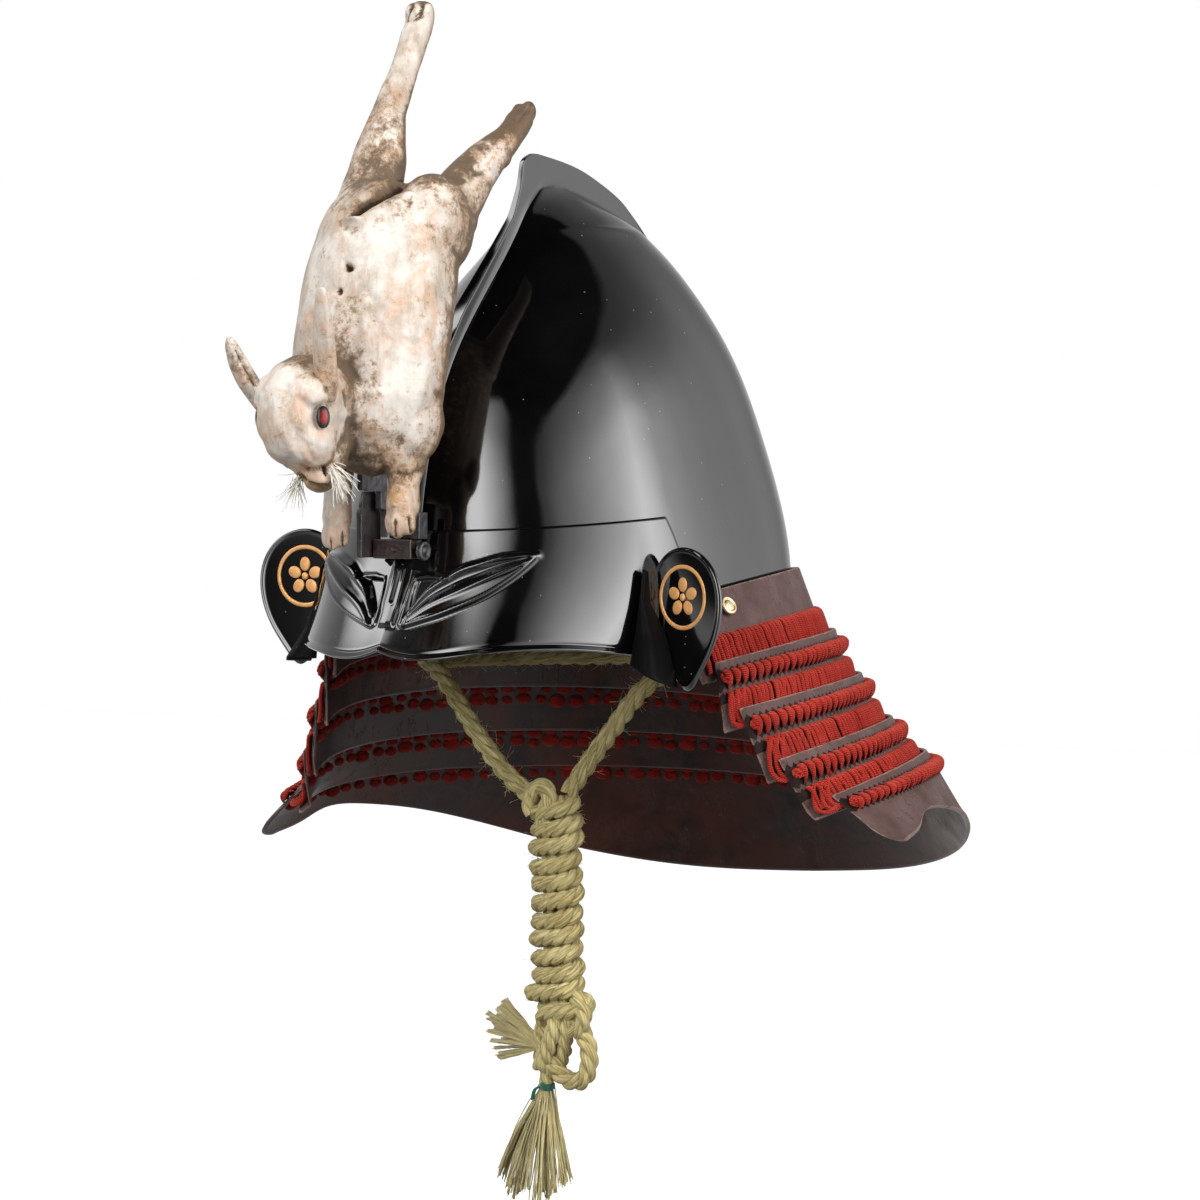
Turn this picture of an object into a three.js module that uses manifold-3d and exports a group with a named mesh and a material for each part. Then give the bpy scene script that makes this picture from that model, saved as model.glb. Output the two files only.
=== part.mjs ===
// A samurai helmet: a ridged peach-shaped bowl of black lacquer with a standing fin, an embossed brow plate,
// two turn-backs, a five-lame laced neck guard, a bracket that holds a leaping hare, and a jute chin cord.
// Millimetres. The origin is the centre of the head opening at brow level. The face looks along -Y, +Z is up,
// and +X is the wearer's left.

import * as THREE from 'three';
import { mergeVertices } from 'three/addons/utils/BufferGeometryUtils.js';
import Module from 'manifold-3d';

const wasm = await Module();
wasm.setup();

// Driving dimensions
const GAP = 0.3;
const LAY_GAP = 1;
const BOWL_WALL = 2;
const BROW_WALL = 1.8;
const LAME_WALL = 2;
const CURTAIN_THICK = 2.4;
const BINDING_THICK = 3;
const CORD_RADIUS = 4.3;
const RIVET_RADIUS = 4;

// Bowl sections, level by level: front and back reach along Y, half width, and how pointed the front is
const BOWL = [
  { z: 8, front: -116, back: 121, half: 100, nose: 1.0 },
  { z: 55, front: -113, back: 118, half: 98, nose: 1.02 },
  { z: 100, front: -104, back: 108, half: 86.5, nose: 1.12 },
  { z: 143, front: -83, back: 92, half: 69, nose: 1.25 },
  { z: 173, front: -57, back: 75, half: 47.5, nose: 1.32 },
  { z: 196, front: -37, back: 56, half: 25, nose: 1.3 },
  { z: 208, front: -27, back: 33, half: 11, nose: 1.2 },
  { z: 216, front: -17, back: 3, half: 1, nose: 1.0 },
];
const BOWL_LEVELS = [8, 40, 72, 102, 128, 150, 169, 184, 196, 205, 211, 216];
const BOWL_STEPS = 34;

// The fin: its free edge and its full thickness, from the brow up to the tip and down the back
const FIN = [
  { y: -118, z: 56, thick: 8 },
  { y: -111, z: 98, thick: 8 },
  { y: -95, z: 135, thick: 7.5 },
  { y: -79, z: 158, thick: 7 },
  { y: -52, z: 187, thick: 5 },
  { y: -38, z: 203, thick: 3.6 },
  { y: -32, z: 217, thick: 2.8 },
  { y: -29, z: 232, thick: 2.4 },
  { y: -9, z: 231, thick: 2.4 },
  { y: 5, z: 228.6, thick: 2.4 },
  { y: 23, z: 223, thick: 2.4 },
  { y: 37, z: 218, thick: 2.4 },
  { y: 48, z: 213, thick: 2.4 },
  { y: 61, z: 203, thick: 2.4 },
  { y: 72, z: 193, thick: 2.4 },
  { y: 85, z: 177, thick: 2.6 },
  { y: 97, z: 155, thick: 3 },
  { y: 107, z: 128, thick: 3.4 },
  { y: 114.5, z: 98, thick: 3.8 },
  { y: 120, z: 60, thick: 4 },
];
const FIN_ROOT = { y: 5, z: 60 };

// Brow plate: its top seam and lower edge, by the turn from the middle of the front in degrees
const BROW_TOP = { middle: 61, rise: 6, reach: 66 };
const BROW_EDGE = [
  { turn: 0, z: 8 },
  { turn: 4, z: 5.5 },
  { turn: 20, z: 6.5 },
  { turn: 42, z: 8.5 },
  { turn: 60, z: 4.5 },
  { turn: 76, z: 0 },
];
const BROW_STEPS = 32;
const BROW_ROWS = 8;
const BROW_PEAK = 20;
const BROW_FLARE_SPAN = 58;
const EYEBROW = { start: 2.7, end: 33, low: 21, high: 50, half: 8.5, height: 4.5 };

// Turn-back face outline about its ring centre: o is outward, z is up
const FACE_OUTLINE = [
  { o: 0, z: 22 }, { o: 13, z: 18 }, { o: 21.5, z: 8 }, { o: 23.5, z: -6 }, { o: 19, z: -21 }, { o: 10.5, z: -34 },
  { o: 3, z: -41 }, { o: -4, z: -36 }, { o: -11.5, z: -24 }, { o: -17, z: -10 }, { o: -19.5, z: 4 }, { o: -12.5, z: 17.5 },
];
const FACE_CENTRE = { x: 106, y: -54, z: 35 };
const FACE_SAG = 3.4;
const FACE_TURN = 11;
const FACE_THICK = 2;
// The fold beside each face, from its apex down: the line on the brow plate, the line on the face, and the bulge
const FOLD = [
  { z: 44, inX: 89, inY: -62, outX: 90.5, outY: -60, outZ: 43, bulge: 0.5 },
  { z: 30, inX: 89, inY: -64.5, outX: 92, outY: -53.5, outZ: 29, bulge: 4 },
  { z: 15, inX: 88.5, inY: -67, outX: 95, outY: -53, outZ: 16, bulge: 8 },
  { z: 1, inX: 87.5, inY: -70, outX: 103, outY: -54.5, outZ: -3, bulge: 13 },
];

// Neck guard: top edges of the five lames on their outer face, by size of plan and height, and how far each
// reaches round from the back at its top and its lower corner, in degrees. Its front ends are pulled in towards
// the neck, and droop
const LAMES = [
  { size: 111, z: 43, topReach: 112, lowReach: 110, pull: 0, frontDrop: 12 },
  { size: 128, z: 14, topReach: 107.7, lowReach: 108, pull: 8.5, frontDrop: 13 },
  { size: 140, z: -7, topReach: 106, lowReach: 103.6, pull: 14, frontDrop: 14 },
  { size: 154, z: -28, topReach: 102, lowReach: 99.5, pull: 16, frontDrop: 20 },
  { size: 170, z: -45, topReach: 96, lowReach: 91, pull: 20, frontDrop: 28 },
];
const GUARD_END = { size: 188, z: -76, topReach: 92, pull: 1, frontDrop: 16 };
const PLAN_SIDE = -7;
const PLAN_BACK = 12;
const CREST_AT = 55;
const BACK_DROP = 7;
const PULL_FROM = 72;
const TUCK = 6;
const LAME_STEPS = 30;
const LEAN = 0.035;
// Height of the last lame's lower edge, by the turn from the back
const LAST_EDGE = [
  { turn: 0, z: -111 }, { turn: 20, z: -108 }, { turn: 32, z: -102 }, { turn: 42, z: -94 }, { turn: 52, z: -84 },
  { turn: 63, z: -75 }, { turn: 73, z: -71 }, { turn: 81, z: -72 }, { turn: 87, z: -79 }, { turn: 92, z: -84 },
];
// Bands down the outside of a lame from its top edge
const STRIP = 4.5;
const BINDING_HIGH = 8;
const LOWER_STRIP = 2.5;
const TOP_LEATHER = 21;

// Chin cord: route of the loop from the bundle up the wearer's right, round the back, and down the left
const CORD_ROUTE = [
  { x: -4, y: -14, z: -64 }, { x: -15, y: -15, z: -56 }, { x: -29, y: -16, z: -42 }, { x: -43, y: -16, z: -25 },
  { x: -56, y: -15, z: -9 }, { x: -69, y: -9, z: -2 }, { x: -81, y: 8, z: -2 }, { x: -84, y: 35, z: -2 }, { x: -76, y: 66, z: -2 },
  { x: -52, y: 92, z: -2 }, { x: -20, y: 104, z: -2 }, { x: 20, y: 104, z: -3 }, { x: 52, y: 92, z: -3 },
  { x: 76, y: 66, z: -3 }, { x: 84, y: 35, z: -3 }, { x: 81, y: 8, z: -3 }, { x: 72, y: -10, z: -3 },
  { x: 62, y: -16, z: -8 }, { x: 45, y: -16, z: -25 }, { x: 29, y: -15, z: -43 }, { x: 15, y: -14, z: -60 },
];
// Lower loop below the bundle
const LOOP_ROUTE = [
  { x: 15, y: -14, z: -160 }, { x: 23, y: -14, z: -170 }, { x: 26.5, y: -14, z: -181 }, { x: 23, y: -14, z: -191 },
  { x: 15, y: -14, z: -192 }, { x: 8, y: -14, z: -187 }, { x: 3, y: -14, z: -178 }, { x: 0, y: -14, z: -169 },
];

// Hare rows: centre, half width across the row and half depth
const HARE_BODY = [
  { x: 0, y: -150, z: 84, wide: 9, deep: 8 }, { x: 0, y: -150, z: 89, wide: 22, deep: 17 },
  { x: 0, y: -149, z: 100, wide: 31, deep: 25 }, { x: 0, y: -146, z: 118, wide: 37, deep: 29 },
  { x: 0, y: -141, z: 145, wide: 38, deep: 30 }, { x: 0, y: -133, z: 172, wide: 38, deep: 30 },
  { x: 0, y: -124, z: 193, wide: 36.5, deep: 28 }, { x: 0, y: -117, z: 205, wide: 32, deep: 25 },
  { x: 0, y: -113, z: 212, wide: 25, deep: 19 }, { x: 0, y: -111, z: 216, wide: 14, deep: 11 },
];
const HARE_HEAD = [
  { x: 0, y: -187, z: 137, wide: 5, deep: 6 }, { x: 0, y: -187, z: 132, wide: 14, deep: 15 },
  { x: 0, y: -187, z: 122, wide: 20, deep: 23 }, { x: 0, y: -187, z: 108, wide: 22, deep: 27 },
  { x: 0, y: -183, z: 95, wide: 18, deep: 23 }, { x: 0, y: -180, z: 86, wide: 11, deep: 15 },
  { x: 0, y: -179, z: 80, wide: 7, deep: 9 }, { x: 0, y: -179, z: 77, wide: 3, deep: 4 },
];
const HARE_NECK = [
  { x: 0, y: -140, z: 120, wide: 20, deep: 22 }, { x: 0, y: -160, z: 118, wide: 21, deep: 20 },
  { x: 0, y: -182, z: 114, wide: 15, deep: 15 },
];
const HARE_LIMBS = [
  [
    { x: -21, y: -120, z: 200, wide: 12, deep: 12 }, { x: -22, y: -107, z: 228, wide: 12, deep: 11 },
    { x: -23, y: -101, z: 248, wide: 7.5, deep: 7 }, { x: -22.5, y: -87, z: 272, wide: 6.5, deep: 6 },
    { x: -22, y: -80, z: 289, wide: 6, deep: 5 }, { x: -22, y: -78, z: 299, wide: 5, deep: 4 },
    { x: -22, y: -77, z: 303, wide: 2.5, deep: 2 },
  ],
  [
    { x: 20, y: -118, z: 196, wide: 13, deep: 12 }, { x: 23, y: -98, z: 216, wide: 11, deep: 10 },
    { x: 24, y: -79, z: 232, wide: 7, deep: 6.5 }, { x: 24, y: -66, z: 243, wide: 6, deep: 5.5 },
    { x: 24, y: -58, z: 251, wide: 5.5, deep: 4.5 }, { x: 24, y: -53, z: 256, wide: 2.5, deep: 2 },
  ],
  [
    { x: -19, y: -146, z: 104, wide: 11, deep: 12 }, { x: -20, y: -146, z: 84, wide: 7.5, deep: 8 },
    { x: -20.5, y: -146, z: 70, wide: 6, deep: 6 }, { x: -20.5, y: -147, z: 60, wide: 7.5, deep: 7.5 },
    { x: -20.5, y: -147, z: 53, wide: 6, deep: 6 }, { x: -20.5, y: -147, z: 51, wide: 2.5, deep: 2.5 },
  ],
  [
    { x: 19, y: -145, z: 106, wide: 12, deep: 14 }, { x: 20, y: -144, z: 90, wide: 9, deep: 10 },
    { x: 20.5, y: -145, z: 75, wide: 6.5, deep: 6.5 }, { x: 20.5, y: -146, z: 65, wide: 8, deep: 8 },
    { x: 20.5, y: -146, z: 59, wide: 6, deep: 6 }, { x: 20.5, y: -146, z: 57, wide: 2.5, deep: 2.5 },
  ],
];
const HARE_EARS = {
  left: [
    { x: 12, y: -189, z: 126, wide: 4.5, deep: 3.5 }, { x: 14, y: -192, z: 136, wide: 5.8, deep: 3 },
    { x: 17, y: -197, z: 149, wide: 5.6, deep: 2.4 }, { x: 19.5, y: -201, z: 160, wide: 3.6, deep: 1.8 },
    { x: 20.5, y: -202.5, z: 165, wide: 1.2, deep: 0.9 },
  ],
  right: [
    { x: -13, y: -186, z: 122, wide: 4.5, deep: 3.5 }, { x: -16, y: -193, z: 127, wide: 5.8, deep: 3 },
    { x: -19.5, y: -200, z: 133, wide: 5.4, deep: 2.4 }, { x: -23, y: -207, z: 139, wide: 3.6, deep: 1.8 },
    { x: -24.5, y: -210, z: 141.5, wide: 1.2, deep: 0.9 },
  ],
};
const HARE_EYE = { x: 18, y: -201.5, z: 110, half: 4.8, across: 2.8, deep: 1.6 };

const rad = THREE.MathUtils.degToRad;
const lerp = THREE.MathUtils.lerp;
const v3 = (x, y, z) => new THREE.Vector3(x, y, z);

// One column of a table as a natural cubic spline of its key column
function column(rows, key, name) {
  const n = rows.length;
  const bend = new Array(n).fill(0);
  const carry = new Array(n).fill(0);
  for (let i = 1; i < n - 1; i += 1) {
    const before = rows[i][key] - rows[i - 1][key];
    const after = rows[i + 1][key] - rows[i][key];
    const rise = (rows[i + 1][name] - rows[i][name]) / after - (rows[i][name] - rows[i - 1][name]) / before;
    const pivot = 2 * (before + after) - before * carry[i - 1];
    carry[i] = after / pivot;
    bend[i] = (6 * rise - before * bend[i - 1]) / pivot;
  }
  for (let i = n - 2; i > 0; i -= 1) bend[i] -= carry[i] * bend[i + 1];
  return (at) => {
    let i = 0;
    while (i < n - 2 && at > rows[i + 1][key]) i += 1;
    const step = rows[i + 1][key] - rows[i][key];
    const b = (at - rows[i][key]) / step;
    const a = 1 - b;
    const curve = ((a ** 3 - a) * bend[i] + (b ** 3 - b) * bend[i + 1]) * step * step / 6;
    return a * rows[i][name] + b * rows[i + 1][name] + curve;
  };
}

// A closed geometry from points and triangles, turned outward
function closed(points, faces) {
  let volume = 0;
  for (const [a, b, c] of faces) {
    volume += points[a].dot(points[b].clone().cross(points[c]));
  }
  const index = faces.flatMap(([a, b, c]) => (volume > 0 ? [a, b, c] : [a, c, b]));
  const geometry = new THREE.BufferGeometry();
  const position = points.flatMap((p) => [p.x, p.y, p.z]);
  geometry.setAttribute('position', new THREE.Float32BufferAttribute(position, 3));
  geometry.setIndex(index);
  return geometry;
}

// A solid through closed rings of equally many points, with a fan over each end
function loft(rings) {
  const n = rings[0].length;
  const points = rings.flat();
  const faces = [];
  for (let r = 0; r < rings.length - 1; r += 1) {
    for (let i = 0; i < n; i += 1) {
      const j = (i + 1) % n;
      faces.push([r * n + i, r * n + j, (r + 1) * n + j], [r * n + i, (r + 1) * n + j, (r + 1) * n + i]);
    }
  }
  for (const [ring, flip] of [[0, true], [rings.length - 1, false]]) {
    const middle = rings[ring].reduce((sum, p) => sum.add(p), v3(0, 0, 0)).divideScalar(n);
    points.push(middle);
    for (let i = 0; i < n; i += 1) {
      const pair = [ring * n + i, ring * n + (i + 1) % n];
      if (flip) pair.reverse();
      faces.push([points.length - 1, pair[0], pair[1]]);
    }
  }
  return closed(points, faces);
}

// A sheet with thickness: outer and inner give a point for u and v from 0 to 1
function sheet(across, down, outer, inner) {
  const points = [];
  const at = (side, i, j) => (side * (across + 1) + i) * (down + 1) + j;
  for (const face of [outer, inner]) {
    for (let i = 0; i <= across; i += 1) {
      for (let j = 0; j <= down; j += 1) points.push(face(i / across, j / down));
    }
  }
  const faces = [];
  const quad = (a, b, c, d) => faces.push([a, b, c], [a, c, d]);
  for (let i = 0; i < across; i += 1) {
    for (let j = 0; j < down; j += 1) {
      quad(at(0, i, j), at(0, i + 1, j), at(0, i + 1, j + 1), at(0, i, j + 1));
      quad(at(1, i, j), at(1, i, j + 1), at(1, i + 1, j + 1), at(1, i + 1, j));
    }
    quad(at(0, i, 0), at(1, i, 0), at(1, i + 1, 0), at(0, i + 1, 0));
    quad(at(0, i, down), at(0, i + 1, down), at(1, i + 1, down), at(1, i, down));
  }
  for (let j = 0; j < down; j += 1) {
    quad(at(0, 0, j), at(0, 0, j + 1), at(1, 0, j + 1), at(1, 0, j));
    quad(at(0, across, j), at(1, across, j), at(1, across, j + 1), at(0, across, j + 1));
  }
  return closed(points, faces);
}

// A rounded limb: oval rings square to the line through the rows, smoothed between them
function limb(rows, sides, between, grow = 0) {
  const line = new THREE.CatmullRomCurve3(rows.map((r) => v3(r.x, r.y, r.z)));
  const count = (rows.length - 1) * between;
  const rings = [];
  for (let k = 0; k <= count; k += 1) {
    const t = k / count;
    const row = Math.min(Math.floor(t * (rows.length - 1)), rows.length - 2);
    const part = t * (rows.length - 1) - row;
    const wide = lerp(rows[row].wide, rows[row + 1].wide, part) + grow;
    const deep = lerp(rows[row].deep, rows[row + 1].deep, part) + grow;
    const along = line.getTangent(t);
    const over = v3(1, 0, 0).projectOnPlane(along).normalize();
    const through = along.clone().cross(over);
    const centre = line.getPoint(t);
    rings.push(Array.from({ length: sides }, (_, i) => {
      const turn = (i / sides) * Math.PI * 2;
      return centre.clone().addScaledVector(over, wide * Math.cos(turn)).addScaledVector(through, deep * Math.sin(turn));
    }));
  }
  return loft(rings);
}

// A plain round tube along a route
function tube(route, radius, sides, steps) {
  const line = new THREE.CatmullRomCurve3(route.map((p) => v3(p.x, p.y, p.z)));
  const section = new THREE.Shape();
  for (let i = 0; i < sides; i += 1) {
    const turn = (i / sides) * Math.PI * 2;
    if (i === 0) section.moveTo(radius, 0);
    else section.lineTo(radius * Math.cos(turn), radius * Math.sin(turn));
  }
  return new THREE.ExtrudeGeometry(section, { steps, bevelEnabled: false, extrudePath: line });
}

function merged(geometry) {
  const bare = geometry.clone();
  bare.deleteAttribute('normal');
  bare.deleteAttribute('uv');
  return mergeVertices(bare, 1e-4);
}

function solid(geometry) {
  const bare = geometry.getAttribute('normal') ? merged(geometry) : geometry;
  const vertProperties = Float32Array.from(bare.getAttribute('position').array);
  const triVerts = Uint32Array.from(bare.getIndex().array);
  return new wasm.Manifold(new wasm.Mesh({ numProp: 3, vertProperties, triVerts }));
}

function surface(body) {
  const made = body.getMesh();
  const geometry = new THREE.BufferGeometry();
  geometry.setAttribute('position', new THREE.Float32BufferAttribute(Array.from(made.vertProperties), 3));
  geometry.setIndex(Array.from(made.triVerts));
  return geometry;
}

function box(low, high) {
  const size = [0, 1, 2].map((i) => high[i] - low[i]);
  const geometry = new THREE.BoxGeometry(...size);
  geometry.translate(...[0, 1, 2].map((i) => (low[i] + high[i]) / 2));
  return geometry;
}

const helmet = new THREE.Group();

const MATERIALS = {
  lacquer: { color: 0x0b0a0b, roughness: 0.08, metalness: 0 },
  leather: { color: 0x4d3531, roughness: 0.6, metalness: 0 },
  silk: { color: 0xa8201c, roughness: 0.7, metalness: 0 },
  gilt: { color: 0xd9a860, roughness: 0.35, metalness: 1 },
  dark_metal: { color: 0x1a1716, roughness: 0.45, metalness: 0.6 },
  carved: { color: 0xd8ccbd, roughness: 0.6, metalness: 0 },
  eye: { color: 0x8c1818, roughness: 0.15, metalness: 0 },
  jute: { color: 0xa59c66, roughness: 0.9, metalness: 0 },
  thread: { color: 0x14503c, roughness: 0.7, metalness: 0 },
};

function add(name, finish, geometry) {
  const mesh = new THREE.Mesh(geometry, new THREE.MeshStandardMaterial(MATERIALS[finish]));
  mesh.name = name;
  helmet.add(mesh);
}

// Bowl
const bowl = {
  front: column(BOWL, 'z', 'front'),
  back: column(BOWL, 'z', 'back'),
  half: column(BOWL, 'z', 'half'),
  nose: column(BOWL, 'z', 'nose'),
};

// A point on the bowl's outer face, moved outward by some millimetres: turn runs from the front, 0, to the back
function bowlPoint(z, turn, out = 0) {
  const front = bowl.front(z) - out;
  const back = bowl.back(z) + out;
  const half = Math.max(bowl.half(z) + out, 0.5);
  const c = Math.cos(turn);
  const point = c > 0 ? bowl.nose(z) : 1;
  const s = Math.sin(turn);
  return v3(half * Math.sign(s) * Math.abs(s) ** point, (front + back) / 2 - ((back - front) / 2) * c, z);
}

function bowlSolid(levels, out) {
  return solid(loft(levels.map((z) => Array.from({ length: BOWL_STEPS }, (_, i) => (
    bowlPoint(z, (i / BOWL_STEPS) * Math.PI * 2, out)
  )))));
}

function finSolid() {
  return solid(loft(FIN.map(({ y, z, thick }, i) => {
    const part = i / (FIN.length - 1);
    const rootY = lerp(y, lerp(-60, 60, part), 0.35);
    const rootZ = lerp(z, FIN_ROOT.z, 0.22);
    return [v3(-thick / 2, y, z), v3(thick / 2, y, z), v3(thick / 2, rootY, rootZ), v3(-thick / 2, rootY, rootZ)];
  })));
}

function makeBowl() {
  const hollow = bowlSolid(BOWL_LEVELS.map((z) => z - BOWL_WALL * 2), -BOWL_WALL);
  const shell = bowlSolid(BOWL_LEVELS, 0).add(finSolid()).subtract(hollow);
  const far = 400;
  const cut = { left: [[GAP / 2, -far, -far], [far, far, far]], right: [[-far, -far, -far], [-GAP / 2, far, far]] };
  for (const side of ['left', 'right']) {
    const half = shell.intersect(solid(box(...cut[side])));
    add(`bowl_half_${side}`, 'lacquer', surface(half));
  }
}

// Brow plate
const browEdge = column(BROW_EDGE, 'turn', 'z');

function eyebrow(turn, z) {
  const part = (turn - EYEBROW.start) / (EYEBROW.end - EYEBROW.start);
  if (part <= 0 || part >= 1) return 0;
  const middle = lerp(EYEBROW.low, EYEBROW.high, Math.sin(part * Math.PI / 2));
  const half = EYEBROW.half * Math.sin(part * Math.PI) ** 0.8;
  const off = Math.abs(z - middle) / Math.max(half, 0.1);
  return off < 1 ? EYEBROW.height * (1 - off * off) : 0;
}

function browPoint(u, v, out) {
  const low = v ** 0.9;
  const turn = (u * 2 - 1) * lerp(BROW_TOP.reach, 76, low);
  const away = Math.abs(turn);
  const z = lerp(BROW_TOP.middle + BROW_TOP.rise * (away / BROW_TOP.reach) ** 2, browEdge(away), v);
  const side = Math.max(Math.cos(rad(away * 90 / BROW_FLARE_SPAN)), 0);
  const flare = BROW_PEAK * v ** 1.6 * side + eyebrow(away, z);
  return bowlPoint(Math.max(z, 8), rad(turn), out + flare).setZ(z);
}

function makeBrow() {
  const outer = (u, v) => browPoint(u, v, LAY_GAP + BROW_WALL);
  const inner = (u, v) => browPoint(u, v, LAY_GAP);
  const plate = solid(sheet(BROW_STEPS, BROW_ROWS, outer, inner));
  const clear = bowlSolid(BOWL_LEVELS.slice(0, 5), GAP);
  const fin = finSolid();
  const finClear = fin.add(fin.translate([0, -GAP, 0])).add(fin.translate([0, 0, -GAP]));
  const brow = plate.subtract(finClear).subtract(clear);
  add('brow_plate', 'lacquer', surface(brow));
  return brow;
}

// The room that the bowl and the brow plate take up, with the gap round them
function browRoom() {
  const outer = (u, v) => browPoint(u, v, LAY_GAP + BROW_WALL + LAY_GAP);
  const inner = (u, v) => browPoint(u, v, -BOWL_WALL * 2);
  return solid(sheet(BROW_STEPS, BROW_ROWS, outer, inner)).add(bowlSolid(BOWL_LEVELS, GAP));
}

// Turn-backs: a flat face and the fold that carries it, for one side
function turnBack(side) {
  const outline = new THREE.CatmullRomCurve3(FACE_OUTLINE.map((p) => v3(side * p.o, p.z, 0)), true);
  const shape = new THREE.Shape(outline.getPoints(24).slice(0, -1).map((p) => new THREE.Vector2(p.x, p.y)));
  const face = new THREE.ExtrudeGeometry(shape, { depth: FACE_THICK, bevelEnabled: false });
  face.rotateX(Math.PI / 2);
  face.rotateZ(-side * rad(FACE_TURN));
  face.translate(side * FACE_CENTRE.x, FACE_CENTRE.y, FACE_CENTRE.z - side * FACE_SAG);
  const foldAt = (out) => (u, v) => {
    const row = Math.min(Math.floor(v * (FOLD.length - 1)), FOLD.length - 2);
    const part = v * (FOLD.length - 1) - row;
    const mix = (name) => lerp(FOLD[row][name], FOLD[row + 1][name], part);
    const bulge = mix('bulge') * Math.sin(u * Math.PI) + out;
    const x = lerp(mix('inX'), mix('outX'), u) + bulge * 0.5;
    const y = lerp(mix('inY'), mix('outY'), u) - bulge * 0.86;
    return v3(side * x, y, lerp(mix('z'), mix('outZ'), u));
  };
  const fold = sheet(6, 6, foldAt(1.7), foldAt(0));
  return solid(face).add(solid(fold));
}

function makeTurnBacks(brow) {
  const room = browRoom().add(brow.translate([0, -GAP, 0])).add(brow.scale([1.003, 1, 1]));
  add('turn_back_left', 'lacquer', surface(turnBack(1).subtract(room)));
  add('turn_back_right', 'lacquer', surface(turnBack(-1).subtract(room)));
}

// Neck guard
const lastEdge = column(LAST_EDGE, 'turn', 'z');

// How far the guard drops away from its highest line, towards the back and towards the front
function archDrop(turn, frontDrop) {
  const away = (Math.abs(turn) - CREST_AT) / CREST_AT;
  return (away < 0 ? BACK_DROP : frontDrop) * away * away;
}

function lastDepth(turn) {
  const { fall } = slopeOf(LAMES.length - 1);
  const top = LAMES[LAMES.length - 1];
  return (top.z - archDrop(turn, lerp(top.frontDrop, GUARD_END.frontDrop, 0.7)) - lastEdge(turn)) / fall;
}

function slopeOf(index) {
  const next = LAMES[index + 1] ?? GUARD_END;
  const run = next.size - LAMES[index].size;
  const fall = LAMES[index].z - next.z;
  const length = Math.hypot(run, fall);
  return { run: run / length, fall: fall / length, length };
}

// A place down the whole guard, counted in lames, and a column of the table there
function guardDepth(index, down) {
  const { length } = slopeOf(index);
  if (down <= length || index === LAMES.length - 1) return index + down / length;
  return index + 1 + (down - length) / slopeOf(index + 1).length;
}

function guardValue(name, place) {
  const rows = [...LAMES, GUARD_END];
  const row = Math.min(Math.floor(place), rows.length - 2);
  return lerp(rows[row][name], rows[row + 1][name], Math.min(place - row, 1));
}

// A point on a lame: down is the distance from its top edge along its slope, out is the distance off its face
function lamePoint(index, turn, down, out) {
  const { run, fall, length } = slopeOf(index);
  const last = index === LAMES.length - 1;
  const under = last ? 0 : LAME_WALL + CURTAIN_THICK + LAY_GAP * 2;
  const off = out - under * Math.min(down / length, 1.2);
  const size = LAMES[index].size + down * run + off * fall;
  const z = LAMES[index].z - down * fall + off * run;
  const place = guardDepth(index, down);
  const ends = Math.max((Math.abs(turn) - PULL_FROM) / (guardValue('topReach', place) - PULL_FROM), 0);
  const pull = guardValue('pull', place) * ends * ends;
  const x = (size + PLAN_SIDE) * Math.sin(rad(turn)) - Math.sign(turn) * 0.58 * pull;
  const y = (size + PLAN_BACK) * Math.cos(rad(turn)) + 0.81 * pull;
  return v3(x, y, z - archDrop(turn, guardValue('frontDrop', place)) + (LEAN * x * place) / LAMES.length);
}

function reach(index, down) {
  const { length } = slopeOf(index);
  return lerp(LAMES[index].topReach, LAMES[index].lowReach, down / length);
}

// A band on a lame through a list of depths, from one height off its face to another
function band(index, depths, from, to, inset) {
  const rows = depths.length - 1;
  const at = (out) => (u, v) => {
    const side = u * 2 - 1;
    const depth = depths[Math.round(v * rows)];
    const down = typeof depth === 'function' ? depth(Math.abs(side) * LAMES[index].topReach) : depth;
    return lamePoint(index, side * (reach(index, down) - inset), down, out);
  };
  return sheet(LAME_STEPS, rows, at(to), at(from));
}

function makeNeckGuard() {
  const last = LAMES.length - 1;
  LAMES.forEach((_, index) => {
    const { length } = slopeOf(index);
    const plate = index === last
      ? [0, (turn) => lastDepth(turn) * 0.4, (turn) => lastDepth(turn) * 0.7, lastDepth]
      : [0, length / 2, length, length + TUCK];
    add(`neck_lame_${index + 1}`, 'leather', band(index, plate, -LAME_WALL, 0, 0));
    if (index > 0) {
      const depths = [STRIP, STRIP + BINDING_HIGH / 2, STRIP + BINDING_HIGH];
      add(`binding_${index + 1}`, 'silk', band(index, depths, LAY_GAP, LAY_GAP + BINDING_THICK, 0.6));
    }
    if (index < last) {
      const start = index === 0 ? TOP_LEATHER : STRIP + BINDING_HIGH + LOWER_STRIP;
      const depths = [start, length, length + TUCK - 2];
      add(`lacing_${index + 1}`, 'silk', band(index, depths, LAY_GAP, LAY_GAP + CURTAIN_THICK, 1));
    }
  });
}

// Rivets through the top lame
function makeRivets() {
  const places = [['left', 99, 13], ['right', -99, 13], ['back', 3, 9]];
  for (const [name, turn, down] of places) {
    const seat = lamePoint(0, turn, down, LAY_GAP + 0.3);
    const off = lamePoint(0, turn, down, LAY_GAP + 10.3).sub(seat).normalize();
    const profile = [new THREE.Vector2(0, 0), new THREE.Vector2(RIVET_RADIUS, 0), new THREE.Vector2(3.4, 1.1),
      new THREE.Vector2(1.8, 1.8), new THREE.Vector2(0, 2)];
    const rivet = new THREE.LatheGeometry(profile, 14);
    rivet.applyQuaternion(new THREE.Quaternion().setFromUnitVectors(v3(0, 1, 0), off));
    rivet.translate(seat.x, seat.y, seat.z);
    add(`rivet_${name}`, 'gilt', merged(rivet));
  }
}

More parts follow.
